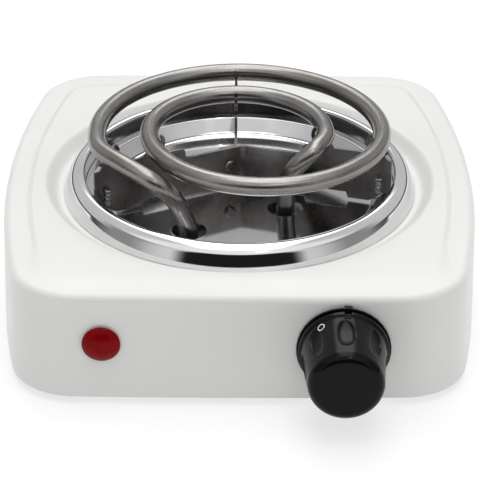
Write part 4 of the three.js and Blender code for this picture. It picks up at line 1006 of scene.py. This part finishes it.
def knob_profile():
    """Outer profile from the skirt's back to the centre of the face: (radius, station)."""
    shoulder = KNOB_NOSE_RADIUS - KNOB_SHOULDER
    skirt = rounded([
        (SKIRT_RADIUS - 1.2, KNOB_BACK),
        (SKIRT_RADIUS, KNOB_BACK, 0.7),
        (SKIRT_RADIUS - 0.3, KNOB_BACK + 2.3, 0.8),
        (KNOB_BASE_RADIUS, KNOB_BACK + 3, 0.8),
        (KNOB_SIDE_RADIUS, KNOB_SIDE_START),
    ], 5)
    side = [(side_radius(z), z) for z in np.linspace(KNOB_SIDE_START, KNOB_SIDE_END, 62)[1:-1]]
    nose = arc(shoulder, KNOB_SIDE_END, KNOB_SHOULDER, 0, 90, 14)
    face = [(shoulder * share, KNOB_REACH) for share in (0.97, 0.6, 0.2, 0)]
    return skirt + side + nose + face


def dimple(angle, station, radius):
    """Depth of the nearest finger dimple at a place on the knob's side."""
    pitch = 360 / DIMPLES
    off = (angle - 90 + pitch / 2) % pitch - pitch / 2
    across = math.radians(off) * radius / (DIMPLE_WIDTH / 2)
    along = (station - DIMPLE_STATION) / (DIMPLE_LENGTH / 2)
    inside = 1 - across**2 - abs(along) ** 2.6
    return DIMPLE_DEPTH * math.sqrt(inside) if inside > 0 else 0


def build_knob():
    segments = 320
    hollow = [
        (0, KNOB_BORE_END),
        (KNOB_BORE_RADIUS, KNOB_BORE_END),
        (KNOB_BORE_RADIUS, KNOB_HUB_START),
        (KNOB_HUB_RADIUS, KNOB_HUB_START),
        (KNOB_HUB_RADIUS, KNOB_HOLLOW_END),
        (KNOB_HOLLOW_RADIUS, KNOB_HOLLOW_END),
        (KNOB_HOLLOW_RADIUS, KNOB_BACK),
    ]
    points, faces = lathe(hollow + knob_profile(), segments)
    dimpled = []
    for x, y, z in points:
        radius = math.hypot(x, y)
        depth = 0
        if radius > KNOB_NOSE_RADIUS - 0.5:
            depth = dimple(math.degrees(math.atan2(y, x)), z, radius)
        share = 1 - depth / radius if radius else 1
        dimpled.append((x * share, y * share, z))
    made = piece("knob_gloss", dimpled, faces, facing(KNOB_ORIGIN), sharp=40)
    return dress(made, FINISHES["black_plastic"], "dial", ["knob"])


MARK_ANGLE = 124  # off mark, degrees anticlockwise from the right
MARK_STATION = 8.1
MARK_RADIUS = 1.75
MARK_LINE = 0.42


def on_knob(angle, station, height):
    """A point just above the knob's side."""
    radius = side_radius(station) + height
    t = math.radians(angle)
    return (radius * math.cos(t), radius * math.sin(t), station)


def build_mark():
    """The printed ring that stands for off."""
    rings = []
    for radius, height in (
        (MARK_RADIUS, -0.05),
        (MARK_RADIUS, 0.05),
        (MARK_RADIUS - MARK_LINE, 0.05),
        (MARK_RADIUS - MARK_LINE, -0.05),
    ):
        ring = []
        for t in np.radians(np.arange(0, 360, 7.5)):
            turn = math.degrees(radius * math.cos(t) / KNOB_BASE_RADIUS)
            ring.append(on_knob(MARK_ANGLE + turn, MARK_STATION + 1.15 * radius * math.sin(t), height))
        rings.append(ring)
    made = piece("off_mark", *loft(rings, closed=True), facing(KNOB_ORIGIN))
    return dress(made, mark_paint(), "dial")


# ---- Indicator lens ----

def build_lens():
    crown = arc_radius(LENS_RADIUS - 0.3, LENS_REACH - LENS_FLANGE)
    crown_z = LENS_REACH - crown
    edge = math.degrees(math.acos((LENS_RADIUS - 0.3) / crown))
    profile = [
        (0, 0.3),
        (LENS_RADIUS - 0.3, 0.3),
        (LENS_RADIUS, 0.6),
        (LENS_RADIUS, LENS_FLANGE - 0.3),
        *arc(0, crown_z, crown, edge, 90, 22)[:-1],
        (0, LENS_REACH),
    ]
    made = piece("lens_dome", *lathe(profile, 96), facing(LENS_ORIGIN))
    return dress(made, FINISHES["red_lens"], replaces=["indicator_lens"])


# ---- CAD nodes that keep their shape ----

BEVEL_WIDTH = 0.12
BEVELLED = {"element_bridge": 0.3, "dial_bezel": 0.25, "cord_gland": 0.4}


def dress_cad_nodes():
    for subpart in frame["record"]["subparts"]:
        node = frame["nodes"][subpart["node"]]
        if node.hide_render:
            continue
        node.data.materials.clear()
        node.data.materials.append(FINISHES[subpart["material_slot"]])
        bevel = node.modifiers.new("edge", "BEVEL")
        bevel.width = BEVELLED.get(node.name, BEVEL_WIDTH) * MM
        bevel.segments = 2
        bevel.limit_method = "ANGLE"
        bevel.angle_limit = math.radians(40)


# ---- Floor, light and camera ----

FLOOR_HALF = 40000
FLOOR_GLOW = 0.66


def build_floor():
    corners = [(x * FLOOR_HALF, y * FLOOR_HALF, 0) for x, y in ((-1, -1), (1, -1), (1, 1), (-1, 1))]
    made = piece("floor", corners, [(0, 1, 2, 3)], standing(Vector((0, 0, 0))))
    f = Finish("pale_floor", Roughness=0.9, Specular_IOR_Level=0.1)
    tone = f.noise(f.space(), 3, 2)
    f.colour(f.mix(f.remap(tone, 0.3, 0.7), (0.34, 0.34, 0.34), (0.36, 0.36, 0.36)))
    f.shader.inputs["Emission Color"].default_value = (1, 1, 1, 1)
    f.shader.inputs["Emission Strength"].default_value = FLOOR_GLOW
    made.data.materials.append(f.material)


SKY_STRIP = 3.1  # long ceiling softbox
SKY_FRONT = 0.95  # ceiling on the camera's side
SKY_BACK = 0.62
SKY_LOW_BACK = 0.6
SKY_LOW_FRONT = 0.72  # just beside the dark wall
SKY_LOW_SIDE = 0.28
SKY_HORIZON = 0.07
SKY_DARK = 0.012


class Sky:
    """World nodes that read only the direction looked in."""

    def __init__(self, world):
        world.use_nodes = True
        self.tree = world.node_tree
        axes = self.tree.nodes.new("ShaderNodeSeparateXYZ")
        self.tree.links.new(self.tree.nodes.new("ShaderNodeTexCoord").outputs["Generated"], axes.inputs[0])
        self.x, self.y, self.z = axes.outputs
        wide = self.tree.nodes.new("ShaderNodeMath")
        wide.operation = "ABSOLUTE"
        self.tree.links.new(self.x, wide.inputs[0])
        self.width = wide.outputs[0]
        self.background = self.tree.nodes["Background"]

    def step(self, value, low, high, before, after):
        """A soft step from one level to another as the value passes from low to high."""
        ranged = self.tree.nodes.new("ShaderNodeMapRange")
        ranged.interpolation_type = "SMOOTHSTEP"
        numbers = (value, low, high, before, after)
        for socket, number in zip(("Value", "From Min", "From Max", "To Min", "To Max"), numbers):
            if isinstance(number, bpy.types.NodeSocket):
                self.tree.links.new(number, ranged.inputs[socket])
            else:
                ranged.inputs[socket].default_value = number
        return ranged.outputs[0]


def build_world():
    """A ceiling with one long softbox, grey surroundings and a dark wall behind the camera."""
    world = bpy.data.worlds.new("studio")
    bpy.context.scene.world = world
    sky = Sky(world)
    low_back = sky.step(sky.z, 0.08, 0.16, SKY_HORIZON, SKY_LOW_BACK)
    low = sky.step(sky.y, -0.1, 0.3, SKY_LOW_SIDE, low_back)
    low = sky.step(sky.y, -0.7, -0.25, SKY_LOW_FRONT, low)
    low = sky.step(sky.y, -0.8, -0.68, SKY_DARK, low)
    high = sky.step(sky.y, -0.25, 0.1, SKY_FRONT, SKY_BACK)
    lit = sky.step(sky.y, -0.36, -0.22, high, SKY_STRIP)
    high = sky.step(sky.width, 0.2, 0.34, lit, high)
    level = sky.step(sky.z, 0.49, 0.6, low, high)
    sky.tree.links.new(level, sky.background.inputs["Strength"])
    sky.background.inputs["Color"].default_value = (1, 1, 1, 1)


SOFTBOX_PLACE = (0.3, -0.9, 1.3)
SOFTBOX_AIM = (0, 0.01, 0.06)
SOFTBOX_SIZE = 0.12
SOFTBOX_POWER = 0.9


def build_light():
    light = bpy.data.lights.new("front_softbox", "AREA")
    light.shape = "RECTANGLE"
    light.size = light.size_y = SOFTBOX_SIZE
    light.energy = SOFTBOX_POWER
    made = linked("front_softbox", light)
    made.location = SOFTBOX_PLACE
    aim = Vector(SOFTBOX_AIM) - Vector(SOFTBOX_PLACE)
    made.rotation_euler = aim.to_track_quat("-Z", "Y").to_euler()


CAMERA_PLACE = (0.0003, -0.89459, 0.51888)
CAMERA_BACK_SHIFT = 0.0025
CAMERA_PITCH = 0.510  # below the horizon, in radians
CAMERA_ROLL = 0.004
CAMERA_LENS = 163.12
SENSOR_WIDTH = 36


def build_camera():
    camera = bpy.data.cameras.new("camera")
    camera.sensor_width = SENSOR_WIDTH
    camera.lens = CAMERA_LENS
    made = linked("camera", camera)
    x, y, z = CAMERA_PLACE
    place = Matrix.Translation((x, y + BURNER_ORIGIN.y + CAMERA_BACK_SHIFT, z))
    tilt = Matrix.Rotation(math.pi / 2 - CAMERA_PITCH, 4, "X")
    made.matrix_world = place @ tilt @ Matrix.Rotation(CAMERA_ROLL, 4, "Z")
    bpy.context.scene.camera = made


bpy.context.scene.view_settings.view_transform = "Standard"
build_housing()
build_ring()
build_bowl()
build_coil()
build_front_support()
build_rear_support()
build_crimp("foot_crimp_right", RIGHT_ARM_ANGLE)
build_crimp("foot_crimp_left", LEFT_ARM_ANGLE)
build_knob()
build_mark()
build_lens()
dress_cad_nodes()
build_floor()
build_world()
build_light()
build_camera()
